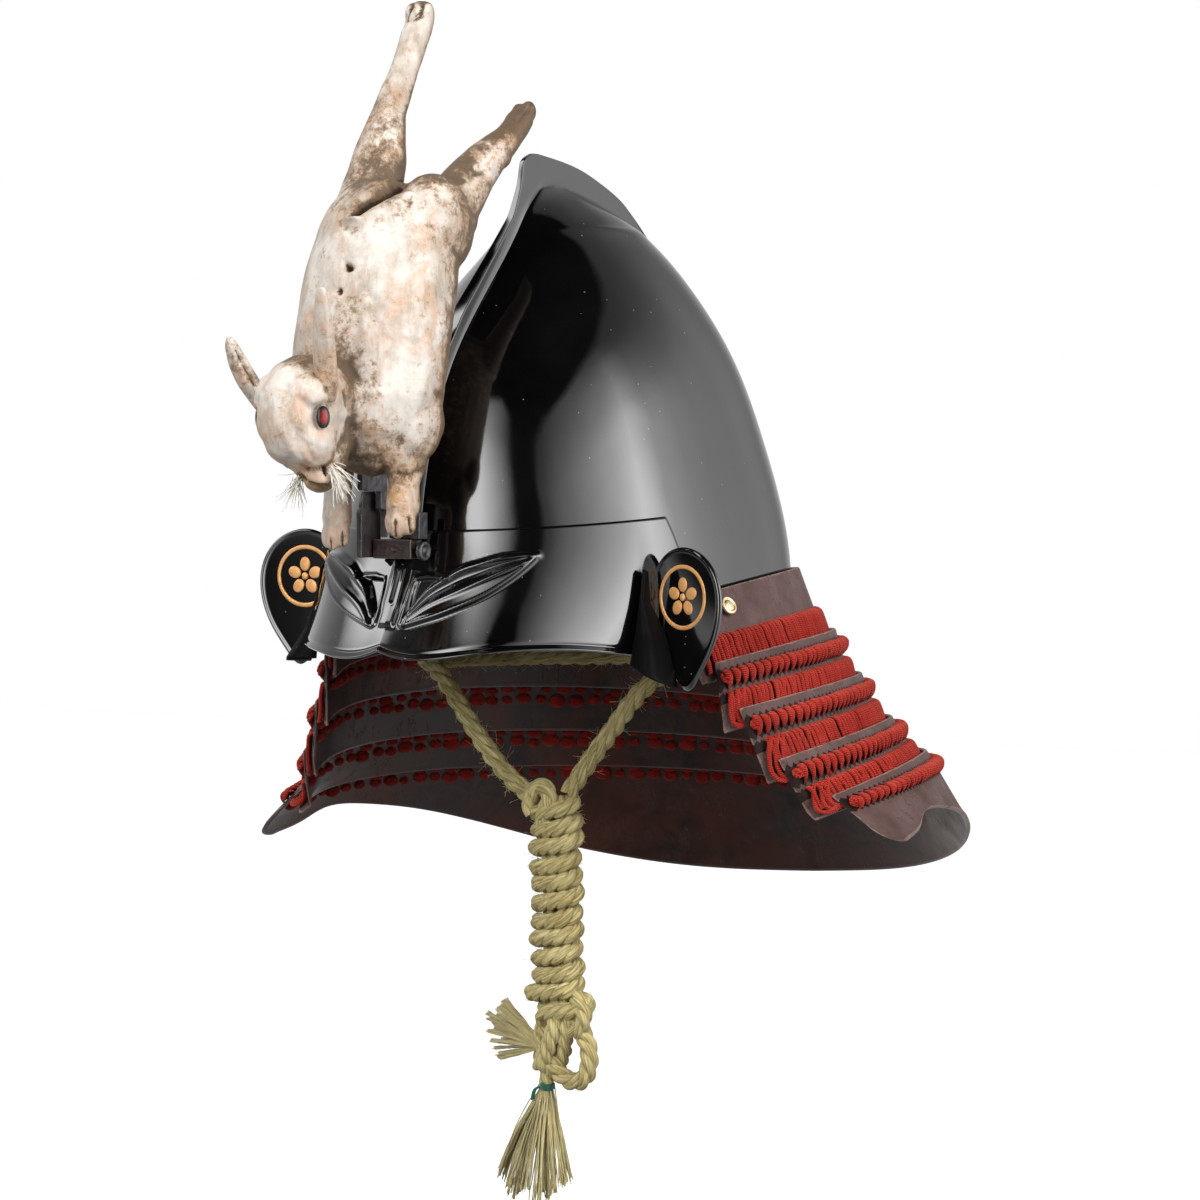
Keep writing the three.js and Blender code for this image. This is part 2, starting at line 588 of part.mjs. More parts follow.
// Bracket on the brow
function makeBracket() {
  const blocks = {
    bracket_base: [[-11, -127, 48.5], [10, -118.5, 57]],
    bracket_back: [[-6, -121.5, 57.3], [7.6, -119.5, 76]],
    bracket_cheek_left: [[9.6, -126, 57.3], [14, -119.5, 69]],
    bracket_cheek_right: [[-14.8, -134, 49], [-11.9, -119.5, 78]],
  };
  for (const [name, [low, high]] of Object.entries(blocks)) add(name, 'dark_metal', box(low, high));
  const pin = new THREE.CylinderGeometry(4.2, 4.2, 3, 16);
  pin.rotateZ(Math.PI / 2);
  pin.translate(13.4 + GAP, -122.5, 52);
  add('bracket_pin', 'dark_metal', merged(pin));
}

function makeTang(hare) {
  const tang = solid(box([-9.5, -140, 58], [-6.5, -122, 95]));
  add('crest_tang', 'dark_metal', surface(tang.subtract(hare)));
}

// Hare
function makeHare() {
  const pieces = [limb(HARE_BODY, 18, 1), limb(HARE_HEAD, 16, 1), limb(HARE_NECK, 14, 1)];
  for (const rows of HARE_LIMBS) pieces.push(limb(rows, 10, 1));
  let hare = pieces.map(solid).reduce((sum, piece) => sum.add(piece));
  const eyes = {};
  for (const side of [1, -1]) {
    const normal = v3(side * 0.84, -0.54, 0);
    const make = (grow) => {
      const eye = new THREE.SphereGeometry(1, 10, 6);
      eye.scale(HARE_EYE.across + grow, HARE_EYE.deep + grow, HARE_EYE.half + grow);
      eye.applyQuaternion(new THREE.Quaternion().setFromUnitVectors(v3(0, -1, 0), normal));
      eye.translate(side * HARE_EYE.x, HARE_EYE.y, HARE_EYE.z);
      return solid(merged(eye));
    };
    eyes[side > 0 ? 'left' : 'right'] = make(0);
    hare = hare.subtract(make(GAP));
  }
  for (const side of ['left', 'right']) {
    add(`hare_eye_${side}`, 'eye', surface(eyes[side]));
    add(`hare_ear_${side}`, 'carved', limb(HARE_EARS[side], 10, 1));
    hare = hare.subtract(solid(limb(HARE_EARS[side], 10, 1, GAP)));
  }
  add('hare_figure', 'carved', surface(hare));
  return hare;
}

// Chin cord
function makeCord() {
  add('chin_cord', 'jute', merged(tube(CORD_ROUTE, CORD_RADIUS, 8, 44)));
  const bundle = [
    { x: 8, y: -14, z: -61, wide: 8, deep: 6 }, { x: 8, y: -14, z: -70, wide: 12.5, deep: 9 },
    { x: 8, y: -14, z: -110, wide: 13.5, deep: 9.5 }, { x: 9, y: -14, z: -150, wide: 13, deep: 9.5 },
    { x: 10, y: -14, z: -158, wide: 10, deep: 8 },
  ];
  const bundleSolid = solid(limb(bundle, 12, 2)).subtract(solid(merged(tube(CORD_ROUTE, CORD_RADIUS + GAP, 8, 44))));
  const grown = solid(limb(bundle, 12, 2, GAP));
  add('cord_bundle', 'jute', surface(bundleSolid));
  const tuft = solid(limb([
    { x: 1, y: -15, z: -178, wide: 4, deep: 4 }, { x: -8, y: -16, z: -172, wide: 8, deep: 5 },
    { x: -22, y: -17, z: -170, wide: 11, deep: 5 },
  ], 10, 2));
  const loop = solid(merged(tube(LOOP_ROUTE, CORD_RADIUS, 8, 16))).subtract(grown);
  const loopFat = solid(merged(tube(LOOP_ROUTE, CORD_RADIUS + GAP, 8, 16)));
  add('cord_loop', 'jute', surface(loop));
  add('cord_tuft', 'jute', surface(tuft.subtract(loopFat).subtract(grown)));
  const tassel = solid(limb([
    { x: 2.5, y: -14, z: -197, wide: 4, deep: 4 }, { x: 1, y: -14, z: -210, wide: 5.5, deep: 5 },
    { x: -1.5, y: -14, z: -228, wide: 11, deep: 8 }, { x: -3, y: -14, z: -247, wide: 16, deep: 11 },
  ], 14, 2));
  const tie = solid(limb([
    { x: 3, y: -14, z: -193.4, wide: 4.4, deep: 4.4 }, { x: 2.6, y: -14, z: -196.6, wide: 4.4, deep: 4.4 },
  ], 14, 1));
  add('tassel_tie', 'thread', surface(tie.subtract(loopFat)));
  add('cord_tassel', 'jute', surface(tassel));
}

makeBowl();
makeTurnBacks(makeBrow());
makeNeckGuard();
makeRivets();
makeBracket();
makeTang(makeHare());
makeCord();

export default helmet;
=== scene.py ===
"""A samurai helmet: black lacquered bowl and brow plate, turn-backs with gilt rings, a neck guard of five
lames laced with red silk, a carved hare on a bracket, and a jute chin cord with a wrapped bundle and a tassel."""
import math

import bmesh
import bpy
import numpy as np
from mathutils import Matrix, Vector, noise


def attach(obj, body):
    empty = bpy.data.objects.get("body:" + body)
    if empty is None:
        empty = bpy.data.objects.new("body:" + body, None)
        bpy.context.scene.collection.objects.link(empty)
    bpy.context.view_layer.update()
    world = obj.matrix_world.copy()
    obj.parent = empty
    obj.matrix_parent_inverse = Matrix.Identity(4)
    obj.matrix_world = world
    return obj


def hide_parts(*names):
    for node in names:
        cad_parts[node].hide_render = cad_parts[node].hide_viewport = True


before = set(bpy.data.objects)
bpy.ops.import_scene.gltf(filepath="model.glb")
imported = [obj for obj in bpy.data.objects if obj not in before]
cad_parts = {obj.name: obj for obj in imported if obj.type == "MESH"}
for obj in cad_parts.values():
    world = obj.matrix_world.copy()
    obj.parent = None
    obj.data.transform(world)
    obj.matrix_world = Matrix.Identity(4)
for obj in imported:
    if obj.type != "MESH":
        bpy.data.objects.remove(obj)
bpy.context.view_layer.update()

scene = bpy.context.scene
MM = 0.001


# Camera at the photograph's angle
VIEW_TURN, VIEW_RISE, VIEW_DISTANCE = math.radians(35.5), math.radians(2.2), 2.3
LENS, SENSOR, SHIFT, FAR_CLIP = 149.7, 36, (0.0333, 0.05), 50
AWAY = np.array([-math.sin(VIEW_TURN) * math.cos(VIEW_RISE), math.cos(VIEW_TURN) * math.cos(VIEW_RISE),
    -math.sin(VIEW_RISE)])
RIGHT = np.array([math.cos(VIEW_TURN), math.sin(VIEW_TURN), 0])
UP = np.cross(RIGHT, AWAY)


def make_camera():
    data = bpy.data.cameras.new("camera")
    data.sensor_width, data.lens, data.clip_end = SENSOR, LENS, FAR_CLIP
    data.shift_x, data.shift_y = SHIFT
    camera = bpy.data.objects.new("camera", data)
    turn = Matrix((RIGHT, UP, -AWAY)).transposed().to_4x4()
    camera.matrix_world = Matrix.Translation(Vector(-AWAY * VIEW_DISTANCE)) @ turn
    scene.collection.objects.link(camera)
    scene.camera = camera


make_camera()


# Tables and curves
def column(rows, key, name):
    """A table's column as a natural cubic spline of its key column."""
    at = np.array([row[key] for row in rows], float)
    value = np.array([row[name] for row in rows], float)
    step = np.diff(at)
    matrix = np.eye(len(at))
    right = np.zeros(len(at))
    for i in range(1, len(at) - 1):
        matrix[i, i - 1:i + 2] = step[i - 1], 2 * (step[i - 1] + step[i]), step[i]
        right[i] = 6 * ((value[i + 1] - value[i]) / step[i] - (value[i] - value[i - 1]) / step[i - 1])
    bend = np.linalg.solve(matrix, right)

    def read(x):
        x = np.asarray(x, float)
        i = np.clip(np.searchsorted(at, x) - 1, 0, len(at) - 2)
        b = (x - at[i]) / step[i]
        a = 1 - b
        curve = ((a ** 3 - a) * bend[i] + (b ** 3 - b) * bend[i + 1]) * step[i] ** 2 / 6
        return a * value[i] + b * value[i + 1] + curve
    return read


def table(names, *rows):
    """Rows of numbers as dicts with named columns."""
    return [dict(zip(names.split(), row)) for row in rows]


def smooth_line(points, count):
    """Evenly spaced points on a smooth curve through the given ones."""
    points = np.array(points, float)
    along = np.concatenate([[0], np.cumsum(np.linalg.norm(np.diff(points, axis=0), axis=1) ** 0.5)])
    rows = [dict(t=t, x=p[0], y=p[1], z=p[2]) for t, p in zip(along, points)]
    fine = np.linspace(0, along[-1], 1200)
    line = np.stack([column(rows, "t", axis)(fine) for axis in "xyz"], 1)
    length = run_along(line)
    even = np.linspace(0, length[-1], count)
    return np.stack([np.interp(even, length, line[:, k]) for k in range(3)], 1)


def run_along(line):
    """Length along a line up to each of its points."""
    return np.concatenate([[0], np.cumsum(np.linalg.norm(np.diff(line, axis=0), axis=1))])


def frames(line):
    """Directions along, across and through a line, carried along it without twist."""
    along = np.gradient(line, axis=0)
    along /= np.linalg.norm(along, axis=1, keepdims=True)
    across = np.empty_like(along)
    side = np.cross(along[0], [0.1, 1, 0.2])
    for i, ahead in enumerate(along):
        side = side - ahead * (side @ ahead)
        side /= np.linalg.norm(side)
        across[i] = side
    return along, across, np.cross(along, across)


def smooth_step(low, high, x):
    t = np.clip((np.asarray(x, float) - low) / (high - low), 0, 1)
    return t * t * (3 - 2 * t)


def tube_faces(count, sides):
    """Faces of a closed tube of rings, from its first flat end to its last."""
    grid = np.arange(count * sides).reshape(count, sides)
    ahead = np.roll(grid, -1, 1)
    quads = np.stack([grid[:-1], ahead[:-1], ahead[1:], grid[1:]], -1).reshape(-1, 4)
    return quads.tolist() + [grid[0][::-1].tolist(), grid[-1].tolist()]


def lerp(a, b, t):
    return a + (b - a) * t


def unit(v):
    return v / np.maximum(np.linalg.norm(v, axis=-1, keepdims=True), 1e-9)


# Meshes
def make_piece(name, points, faces, material=None, edges=()):
    """An object whose points are given in millimetres."""
    mesh = bpy.data.meshes.new(name)
    mesh.from_pydata((np.asarray(points, float).reshape(-1, 3) * MM).tolist(), list(edges), faces)
    mesh.update()
    piece = bpy.data.objects.new(name, mesh)
    scene.collection.objects.link(piece)
    if material:
        mesh.materials.append(material)
    for polygon in mesh.polygons:
        polygon.use_smooth = True
    return piece


def make_outward(piece):
    """Merges doubles and turns every face outward."""
    data = bmesh.new()
    data.from_mesh(piece.data)
    bmesh.ops.remove_doubles(data, verts=data.verts, dist=1e-6)
    bmesh.ops.recalc_face_normals(data, faces=data.faces)
    data.to_mesh(piece.data)
    data.free()
    return piece


def put_attribute(piece, name, values, kind="FLOAT"):
    layer = piece.data.attributes.new(name, kind, "POINT")
    field = {"FLOAT": "value", "FLOAT_VECTOR": "vector"}[kind]
    layer.data.foreach_set(field, np.asarray(values, np.float32).ravel())


def shell(name, outer, inner, material, attributes=()):
    """A closed sheet from an outer and an inner grid of points, with named values for each outer point."""
    wide, high = outer.shape[:2]
    count = wide * high
    index = np.arange(count).reshape(wide, high)
    faces = []

    def strip(a, b, c, d):
        faces.extend(np.stack([a, b, c, d], -1).reshape(-1, 4).tolist())
    strip(index[:-1, :-1], index[1:, :-1], index[1:, 1:], index[:-1, 1:])
    under = index + count
    strip(under[:-1, :-1], under[:-1, 1:], under[1:, 1:], under[1:, :-1])
    strip(index[:-1, 0], under[:-1, 0], under[1:, 0], index[1:, 0])
    strip(index[:-1, -1], index[1:, -1], under[1:, -1], under[:-1, -1])
    strip(index[0, :-1], index[0, 1:], under[0, 1:], under[0, :-1])
    strip(index[-1, :-1], under[-1, :-1], under[-1, 1:], index[-1, 1:])
    points = np.concatenate([outer.reshape(-1, 3), inner.reshape(-1, 3)])
    piece = make_piece(name, points, faces, material)
    for label, values in dict(attributes).items():
        values = np.asarray(values, float)
        if values.shape[:2] == (wide, high):
            values = np.concatenate([values.reshape(count, -1)] * 2)
        put_attribute(piece, label, values, "FLOAT_VECTOR" if values.shape[-1] == 3 else "FLOAT")
    return piece


def place(piece, slot, *nodes):
    """Puts a finished piece on the helmet's body, with the CAD nodes that it stands for; its slot is not used."""
    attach(piece, "root")
    if nodes:
        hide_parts(*nodes)
    return piece


# Geometry Nodes: trees are made once, run on a guide mesh, and leave a plain mesh
def new_tree(name, inputs):
    tree = bpy.data.node_groups.new(name, "GeometryNodeTree")
    tree.interface.new_socket("Geometry", in_out="INPUT", socket_type="NodeSocketGeometry")
    for label, kind, value in inputs:
        socket = tree.interface.new_socket(label, in_out="INPUT", socket_type=kind)
        if value is not None:
            socket.default_value = value
    tree.interface.new_socket("Geometry", in_out="OUTPUT", socket_type="NodeSocketGeometry")
    return tree, tree.nodes.new("NodeGroupInput"), tree.nodes.new("NodeGroupOutput")


def feed(tree, socket, value):
    """Links an input to another node's output, or sets its plain value."""
    if isinstance(value, bpy.types.NodeSocket):
        tree.links.new(value, socket)
    else:
        socket.default_value = value


def add_node(tree, kind, inputs=None, **settings):
    """A node with its settings, and with values or links for its inputs."""
    node = tree.nodes.new(kind)
    for key, value in settings.items():
        setattr(node, key, value)
    for key, value in (inputs or {}).items():
        feed(tree, node.inputs[key], value)
    return node


def run_tree(name, guide, tree, values, material):
    """Runs a tree on a guide mesh and returns its result as a plain mesh object."""
    modifier = guide.modifiers.new("make", "NODES")
    modifier.node_group = tree
    values = {**values, "Material": material}
    for item in tree.interface.items_tree:
        if item.item_type == "SOCKET" and item.in_out == "INPUT" and item.name in values:
            modifier[item.identifier] = values[item.name]
    graph = bpy.context.evaluated_depsgraph_get()
    mesh = bpy.data.meshes.new_from_object(guide.evaluated_get(graph))
    mesh.name = name
    mesh.materials.clear()
    mesh.materials.append(material)
    mesh.polygons.foreach_set("material_index", np.zeros(len(mesh.polygons), np.int32))
    piece = bpy.data.objects.new(name, mesh)
    scene.collection.objects.link(piece)
    guide.modifiers.clear()
    bpy.data.objects.remove(guide)
    return piece


def guide_lines(name, lines, facing=None, swell=None):
    """A guide of open lines in millimetres, with a facing and a thickness factor for each point."""
    points, edges = [], []
    for line in lines:
        start = len(points)
        points.extend(line)
        edges.extend((start + i, start + i + 1) for i in range(len(line) - 1))
    guide = make_piece(name, points, [], edges=edges)
    if facing is None:
        facing = np.tile([0, 0, 1], (len(points), 1))
    put_attribute(guide, "facing", np.concatenate(facing) if isinstance(facing, list) else facing,
        "FLOAT_VECTOR")
    factor = np.ones(len(points)) if swell is None else np.concatenate(swell)
    put_attribute(guide, "swell", factor)
    return guide


def sweep_tree():
    """Sweeps an oval section along each line of the guide. The attribute lay holds the place on the section
    and the length along the line."""
    tree, start, end = new_tree("sweep an oval section", [("Half Width", "NodeSocketFloat", 0.001),
        ("Half Height", "NodeSocketFloat", 0.001), ("Sides", "NodeSocketInt", 8),
        ("Follow Facing", "NodeSocketBool", False), ("Material", "NodeSocketMaterial", None)])
    curve = add_node(tree, "GeometryNodeMeshToCurve", {"Mesh": start.outputs["Geometry"]})
    facing = add_node(tree, "GeometryNodeInputNamedAttribute", {"Name": "facing"}, data_type="FLOAT_VECTOR")
    swell = add_node(tree, "GeometryNodeInputNamedAttribute", {"Name": "swell"}, data_type="FLOAT")
    aimed = add_node(tree, "GeometryNodeSetCurveNormal", {"Curve": curve.outputs[0],
        "Normal": facing.outputs["Attribute"]}, mode="FREE")
    choose = add_node(tree, "GeometryNodeSwitch", {"Switch": start.outputs["Follow Facing"],
        "False": curve.outputs[0], "True": aimed.outputs[0]}, input_type="GEOMETRY")
    along = add_node(tree, "GeometryNodeSplineParameter")
    kept = add_node(tree, "GeometryNodeCaptureAttribute", {"Geometry": choose.outputs[0]}, domain="POINT")
    kept.capture_items.new("FLOAT", "Length")
    tree.links.new(along.outputs["Length"], kept.inputs["Length"])
    thick = add_node(tree, "GeometryNodeSetCurveRadius", {"Curve": kept.outputs["Geometry"],
        "Radius": swell.outputs["Attribute"]})
    ring = add_node(tree, "GeometryNodeCurvePrimitiveCircle", {"Resolution": start.outputs["Sides"],
        "Radius": 1.0})
    size = add_node(tree, "ShaderNodeCombineXYZ", {"X": start.outputs["Half Height"],
        "Y": start.outputs["Half Width"], "Z": 1.0})
    oval = add_node(tree, "GeometryNodeTransform", {"Geometry": ring.outputs["Curve"],
        "Scale": size.outputs[0]})
    where = add_node(tree, "GeometryNodeInputPosition")
    section = add_node(tree, "GeometryNodeCaptureAttribute", {"Geometry": oval.outputs[0]}, domain="POINT")
    section.capture_items.new("VECTOR", "Place")
    tree.links.new(where.outputs[0], section.inputs["Place"])
    swept = add_node(tree, "GeometryNodeCurveToMesh", {"Curve": thick.outputs[0],
        "Profile Curve": section.outputs["Geometry"], "Fill Caps": True})
    if "Scale" in swept.inputs:
        tree.links.new(swell.outputs["Attribute"], swept.inputs["Scale"])
    parts = add_node(tree, "ShaderNodeSeparateXYZ", {"Vector": section.outputs["Place"]})
    lay = add_node(tree, "ShaderNodeCombineXYZ", {"X": parts.outputs["X"], "Y": parts.outputs["Y"],
        "Z": kept.outputs["Length"]})
    stored = add_node(tree, "GeometryNodeStoreNamedAttribute",
        {"Geometry": swept.outputs[0], "Name": "lay", "Value": lay.outputs[0]}, data_type="FLOAT_VECTOR",
        domain="POINT")
    smooth = add_node(tree, "GeometryNodeSetShadeSmooth", {"Geometry": stored.outputs[0]})
    solid = add_node(tree, "GeometryNodeRealizeInstances", {"Geometry": smooth.outputs[0]})
    done = add_node(tree, "GeometryNodeSetMaterial", {"Geometry": solid.outputs[0],
        "Material": start.outputs["Material"]})
    tree.links.new(done.outputs[0], end.inputs["Geometry"])
    return tree


SWEEP = sweep_tree()


def swept(name, lines, half_width, half_height, material, sides=8, facing=None, swell=None):
    """A piece of oval strands along the given lines, all in millimetres."""
    guide = guide_lines(name + "_guide", lines, facing, swell)
    values = {"Half Width": half_width * MM, "Half Height": half_height * MM, "Sides": sides,
        "Follow Facing": facing is not None}
    return run_tree(name, guide, SWEEP, values, material)


def strands(line, count, spread, lay_length, phase=0.0, wander=0.0):
    """Lines of the strands laid left-handed round a centre line."""
    _, across, through = frames(line)
    along = run_along(line)
    result = []
    for k in range(count):
        turn = phase - 2 * math.pi * (along / lay_length + k / count)
        slip = wander * np.sin(along / 9.0 + k * 2.1)
        result.append(line + (spread + slip)[:, None] * (np.cos(turn)[:, None] * across
            + np.sin(turn)[:, None] * through))
    return result


# Materials: shared node groups
def new_group(name, inputs, outputs):
    """A shader node group with named inputs and outputs."""
    group = bpy.data.node_groups.new(name, "ShaderNodeTree")
    for label, kind, value in inputs:
        group.interface.new_socket(label, in_out="INPUT", socket_type=kind).default_value = value
    for label, kind in outputs:
        group.interface.new_socket(label, in_out="OUTPUT", socket_type=kind)
    return group, group.nodes.new("NodeGroupInput"), group.nodes.new("NodeGroupOutput")


def ramp(tree, factor, stops):
    """A colour ramp from (position, grey or colour) stops."""
    node = add_node(tree, "ShaderNodeValToRGB", {"Fac": factor})
    while len(node.color_ramp.elements) < len(stops):
        node.color_ramp.elements.new(0.5)
    for element, (at, colour) in zip(node.color_ramp.elements, stops):
        element.position = at
        element.color = (colour, colour, colour, 1) if isinstance(colour, (int, float)) else (*colour, 1)
    return node.outputs["Color"]


def mix(tree, factor, first, second):
    """Two colours mixed by a factor."""
    node = add_node(tree, "ShaderNodeMix", data_type="RGBA", clamp_factor=True)
    for index, value in ((0, factor), (6, first), (7, second)):
        feed(tree, node.inputs[index], (*value, 1) if isinstance(value, (tuple, list)) else value)
    return node.outputs[2]


def maths(tree, way, first, second=0.0, third=None, clamp=False):
    node = tree.nodes.new("ShaderNodeMath")
    node.operation = way
    node.use_clamp = clamp
    for index, value in enumerate((first, second, third)):
        if value is not None:
            feed(tree, node.inputs[index], value)
    return node.outputs[0]


def noise_of(tree, vector, scale, detail=3.0, rough=0.5, warp=0.0):
    node = add_node(tree, "ShaderNodeTexNoise", {"Vector": vector, "Scale": scale, "Detail": detail,
        "Roughness": rough, "Distortion": warp})
    return node.outputs["Fac"]


def attribute(tree, name, output="Fac"):
    node = tree.nodes.new("ShaderNodeAttribute")
    node.attribute_name = name
    return node.outputs[output]


def wear_group():
    """Patchy wear: an edge value broken up by noise."""
    group, start, end = new_group("patchy wear", [("Vector", "NodeSocketVector", (0, 0, 0)),
        ("Edge", "NodeSocketFloat", 0.0), ("Scale", "NodeSocketFloat", 60.0),
        ("Amount", "NodeSocketFloat", 0.5)], [("Mask", "NodeSocketFloat")])
    large = noise_of(group, start.outputs["Vector"], start.outputs["Scale"], 6, 0.65)
    broken = maths(group, "ADD", start.outputs["Edge"], maths(group, "MULTIPLY_ADD", large, 1.6, -0.8))
    level = maths(group, "SUBTRACT", 1.0, start.outputs["Amount"])
    mask = maths(group, "MULTIPLY", maths(group, "SUBTRACT", broken, level), 5.0, clamp=True)
    group.links.new(mask, end.inputs["Mask"])
    return group


def grain_group():
    """Leather or paint grain: a fine pebble with creases."""
    group, start, end = new_group("fine grain", [("Vector", "NodeSocketVector", (0, 0, 0)),
        ("Scale", "NodeSocketFloat", 900.0), ("Crease", "NodeSocketFloat", 0.4)],
        [("Height", "NodeSocketFloat"), ("Blotch", "NodeSocketFloat")])
    cell = add_node(group, "ShaderNodeTexVoronoi", {"Vector": start.outputs["Vector"],
        "Scale": start.outputs["Scale"]}, feature="F1")
    coarse = noise_of(group, start.outputs["Vector"], maths(group, "MULTIPLY", start.outputs["Scale"],
        0.17), 5, 0.6)
    crease = maths(group, "ABSOLUTE", maths(group, "SUBTRACT", coarse, 0.5))
    deep = maths(group, "MULTIPLY", maths(group, "SUBTRACT", 0.06, crease, clamp=True),
        start.outputs["Crease"])
    height = maths(group, "SUBTRACT", maths(group, "MULTIPLY", cell.outputs["Distance"], 0.6),
        maths(group, "MULTIPLY", deep, 12.0))
    blotch = noise_of(group, start.outputs["Vector"], maths(group, "MULTIPLY", start.outputs["Scale"],
        0.04), 4, 0.55)
    group.links.new(height, end.inputs["Height"])
    group.links.new(blotch, end.inputs["Blotch"])
    return group


def dust_group():
    """Specks of dust and faint scratches on a polished face."""
    group, start, end = new_group("dust and scratches", [("Vector", "NodeSocketVector", (0, 0, 0)),
        ("Specks", "NodeSocketFloat", 0.4)], [("Mask", "NodeSocketFloat"), ("Haze", "NodeSocketFloat")])
    cell = add_node(group, "ShaderNodeTexVoronoi", {"Vector": start.outputs["Vector"], "Scale": 260.0},
        feature="F1")
    pick = maths(group, "GREATER_THAN", add_node(group, "ShaderNodeSeparateColor",
        {"Color": cell.outputs["Color"]}).outputs["Red"], 0.86)
    speck = maths(group, "MULTIPLY", pick, maths(group, "LESS_THAN", cell.outputs["Distance"], 0.09))
    mask = maths(group, "MULTIPLY", speck, start.outputs["Specks"])
    haze = noise_of(group, start.outputs["Vector"], 14.0, 5, 0.6, 0.4)
    group.links.new(mask, end.inputs["Mask"])
    group.links.new(haze, end.inputs["Haze"])
    return group


def fibre_group():
    """Fine fibres that run along a swept strand, from its attribute lay."""
    group, start, end = new_group("fibres along a strand", [("Lay", "NodeSocketVector", (0, 0, 0)),
        ("Fineness", "NodeSocketFloat", 4000.0), ("Slant", "NodeSocketFloat", 0.0)],
        [("Height", "NodeSocketFloat"), ("Streak", "NodeSocketFloat")])
    parts = add_node(group, "ShaderNodeSeparateXYZ", {"Vector": start.outputs["Lay"]})
    turned = add_node(group, "ShaderNodeVectorRotate", {"Vector": start.outputs["Lay"], "Axis": (0, 0, 1),
        "Angle": maths(group, "MULTIPLY", parts.outputs["Z"], start.outputs["Slant"])},
        rotation_type="AXIS_ANGLE")
    squeezed = add_node(group, "ShaderNodeVectorMath", {0: turned.outputs[0], 1: (1, 1, 0.06)},
        operation="MULTIPLY")
    fine = noise_of(group, squeezed.outputs[0], start.outputs["Fineness"], 3, 0.7)
    streak = noise_of(group, squeezed.outputs[0], maths(group, "MULTIPLY", start.outputs["Fineness"], 0.3),
        4, 0.6)
    group.links.new(fine, end.inputs["Height"])
    group.links.new(streak, end.inputs["Streak"])
    return group


WEAR, GRAIN, DUST, FIBRE = wear_group(), grain_group(), dust_group(), fibre_group()


def use(tree, group, inputs):
    node = tree.nodes.new("ShaderNodeGroup")
    node.node_tree = group
    for key, value in inputs.items():
        feed(tree, node.inputs[key], value)
    return node.outputs


def new_material(name, **plain):
    """A material with one Principled shader whose plain values are set on its own sockets."""
    material = bpy.data.materials.new(name)
    material.use_nodes = True
    tree = material.node_tree
    shader = tree.nodes["Principled BSDF"]
    for key, value in plain.items():
        socket = shader.inputs[key.replace("_", " ")]
        socket.default_value = (*value, 1) if isinstance(value, tuple) and len(value) == 3 else value
    where = tree.nodes.new("ShaderNodeTexCoord").outputs["Object"]
    return material, tree, shader, where


def coat(tree, shader, colour, rough):
    """Links a colour and a roughness to the shader."""
    tree.links.new(colour, shader.inputs["Base Color"])
    tree.links.new(rough, shader.inputs["Roughness"])


def bump(tree, shader, height, distance, strength=1.0):
    node = add_node(tree, "ShaderNodeBump", {"Height": height, "Distance": distance, "Strength": strength})
    tree.links.new(node.outputs[0], shader.inputs["Normal"])


# Jute: dull green-beige fibre with paler and browner streaks and dark gaps between the strands
def jute_material(name, light, dark, fineness=3600.0):
    material, tree, shader, where = new_material(name, Specular_IOR_Level=0.18, Sheen_Weight=0.25,
        Sheen_Roughness=0.5, Sheen_Tint=(0.95, 0.9, 0.7))
    fibre = use(tree, FIBRE, {"Lay": attribute(tree, "lay", "Vector"), "Fineness": fineness,
        "Slant": -140.0})
    patch = noise_of(tree, where, 75.0, 3, 0.6)
    base = mix(tree, ramp(tree, fibre["Streak"], [(0.36, 0.0), (0.6, 1.0)]), dark, light)
    pale = tuple(min(c * 1.25, 1) for c in light)
    base = mix(tree, ramp(tree, fibre["Height"], [(0.5, 0.0), (0.75, 0.7)]), base, pale)
    base = mix(tree, ramp(tree, patch, [(0.45, 0.0), (0.75, 0.45)]), base,
        (dark[0] * 1.1, dark[1], dark[2] * 0.8))
    coat(tree, shader, base, ramp(tree, fibre["Height"], [(0.3, 0.95), (0.8, 0.75)]))
    bump(tree, shader, fibre["Height"], 0.0011, 1.0)
    return material


JUTE = jute_material("jute", (0.95, 0.8, 0.39), (0.34, 0.25, 0.075))
JUTE_PALE = jute_material("jute_frayed", (1.0, 0.9, 0.48), (0.72, 0.58, 0.26), 5200.0)


def thread_material():
    material, tree, shader, where = new_material("green_thread", Sheen_Weight=0.4,
        Sheen_Tint=(0.3, 0.8, 0.6))
    fibre = use(tree, FIBRE, {"Lay": attribute(tree, "lay", "Vector"), "Fineness": 6000.0, "Slant": -400.0})
    base = mix(tree, fibre["Streak"], (0.004, 0.035, 0.024), (0.02, 0.14, 0.095))
    coat(tree, shader, base, ramp(tree, fibre["Height"], [(0.3, 0.8), (0.8, 0.55)]))
    bump(tree, shader, fibre["Height"], 0.0003)
    return material


THREAD = thread_material()


# Chin cord: its route is the CAD's, in millimetres
CORD_ROUTE = [(-4, -14, -64), (-15, -15, -56), (-29, -16, -42), (-43, -16, -25), (-56, -15, -9),
    (-69, -9, -2), (-81, 8, -2), (-84, 35, -2), (-76, 66, -2), (-52, 92, -2), (-20, 104, -2), (20, 104, -3),
    (52, 92, -3), (76, 66, -3), (84, 35, -3), (81, 8, -3), (72, -10, -3), (62, -16, -8), (45, -16, -25),
    (29, -15, -43), (15, -14, -60)]
LOOP_ROUTE = [(15, -14, -160), (23, -14, -170), (26.5, -14, -181), (23, -14, -191), (15, -14, -192),
    (8, -14, -187), (3, -14, -178), (0, -14, -169)]
CORD_THICK, STRAND_OFF, STRAND_HALF, LAY_LENGTH = 8.6, 2.15, 2.3, 25.0


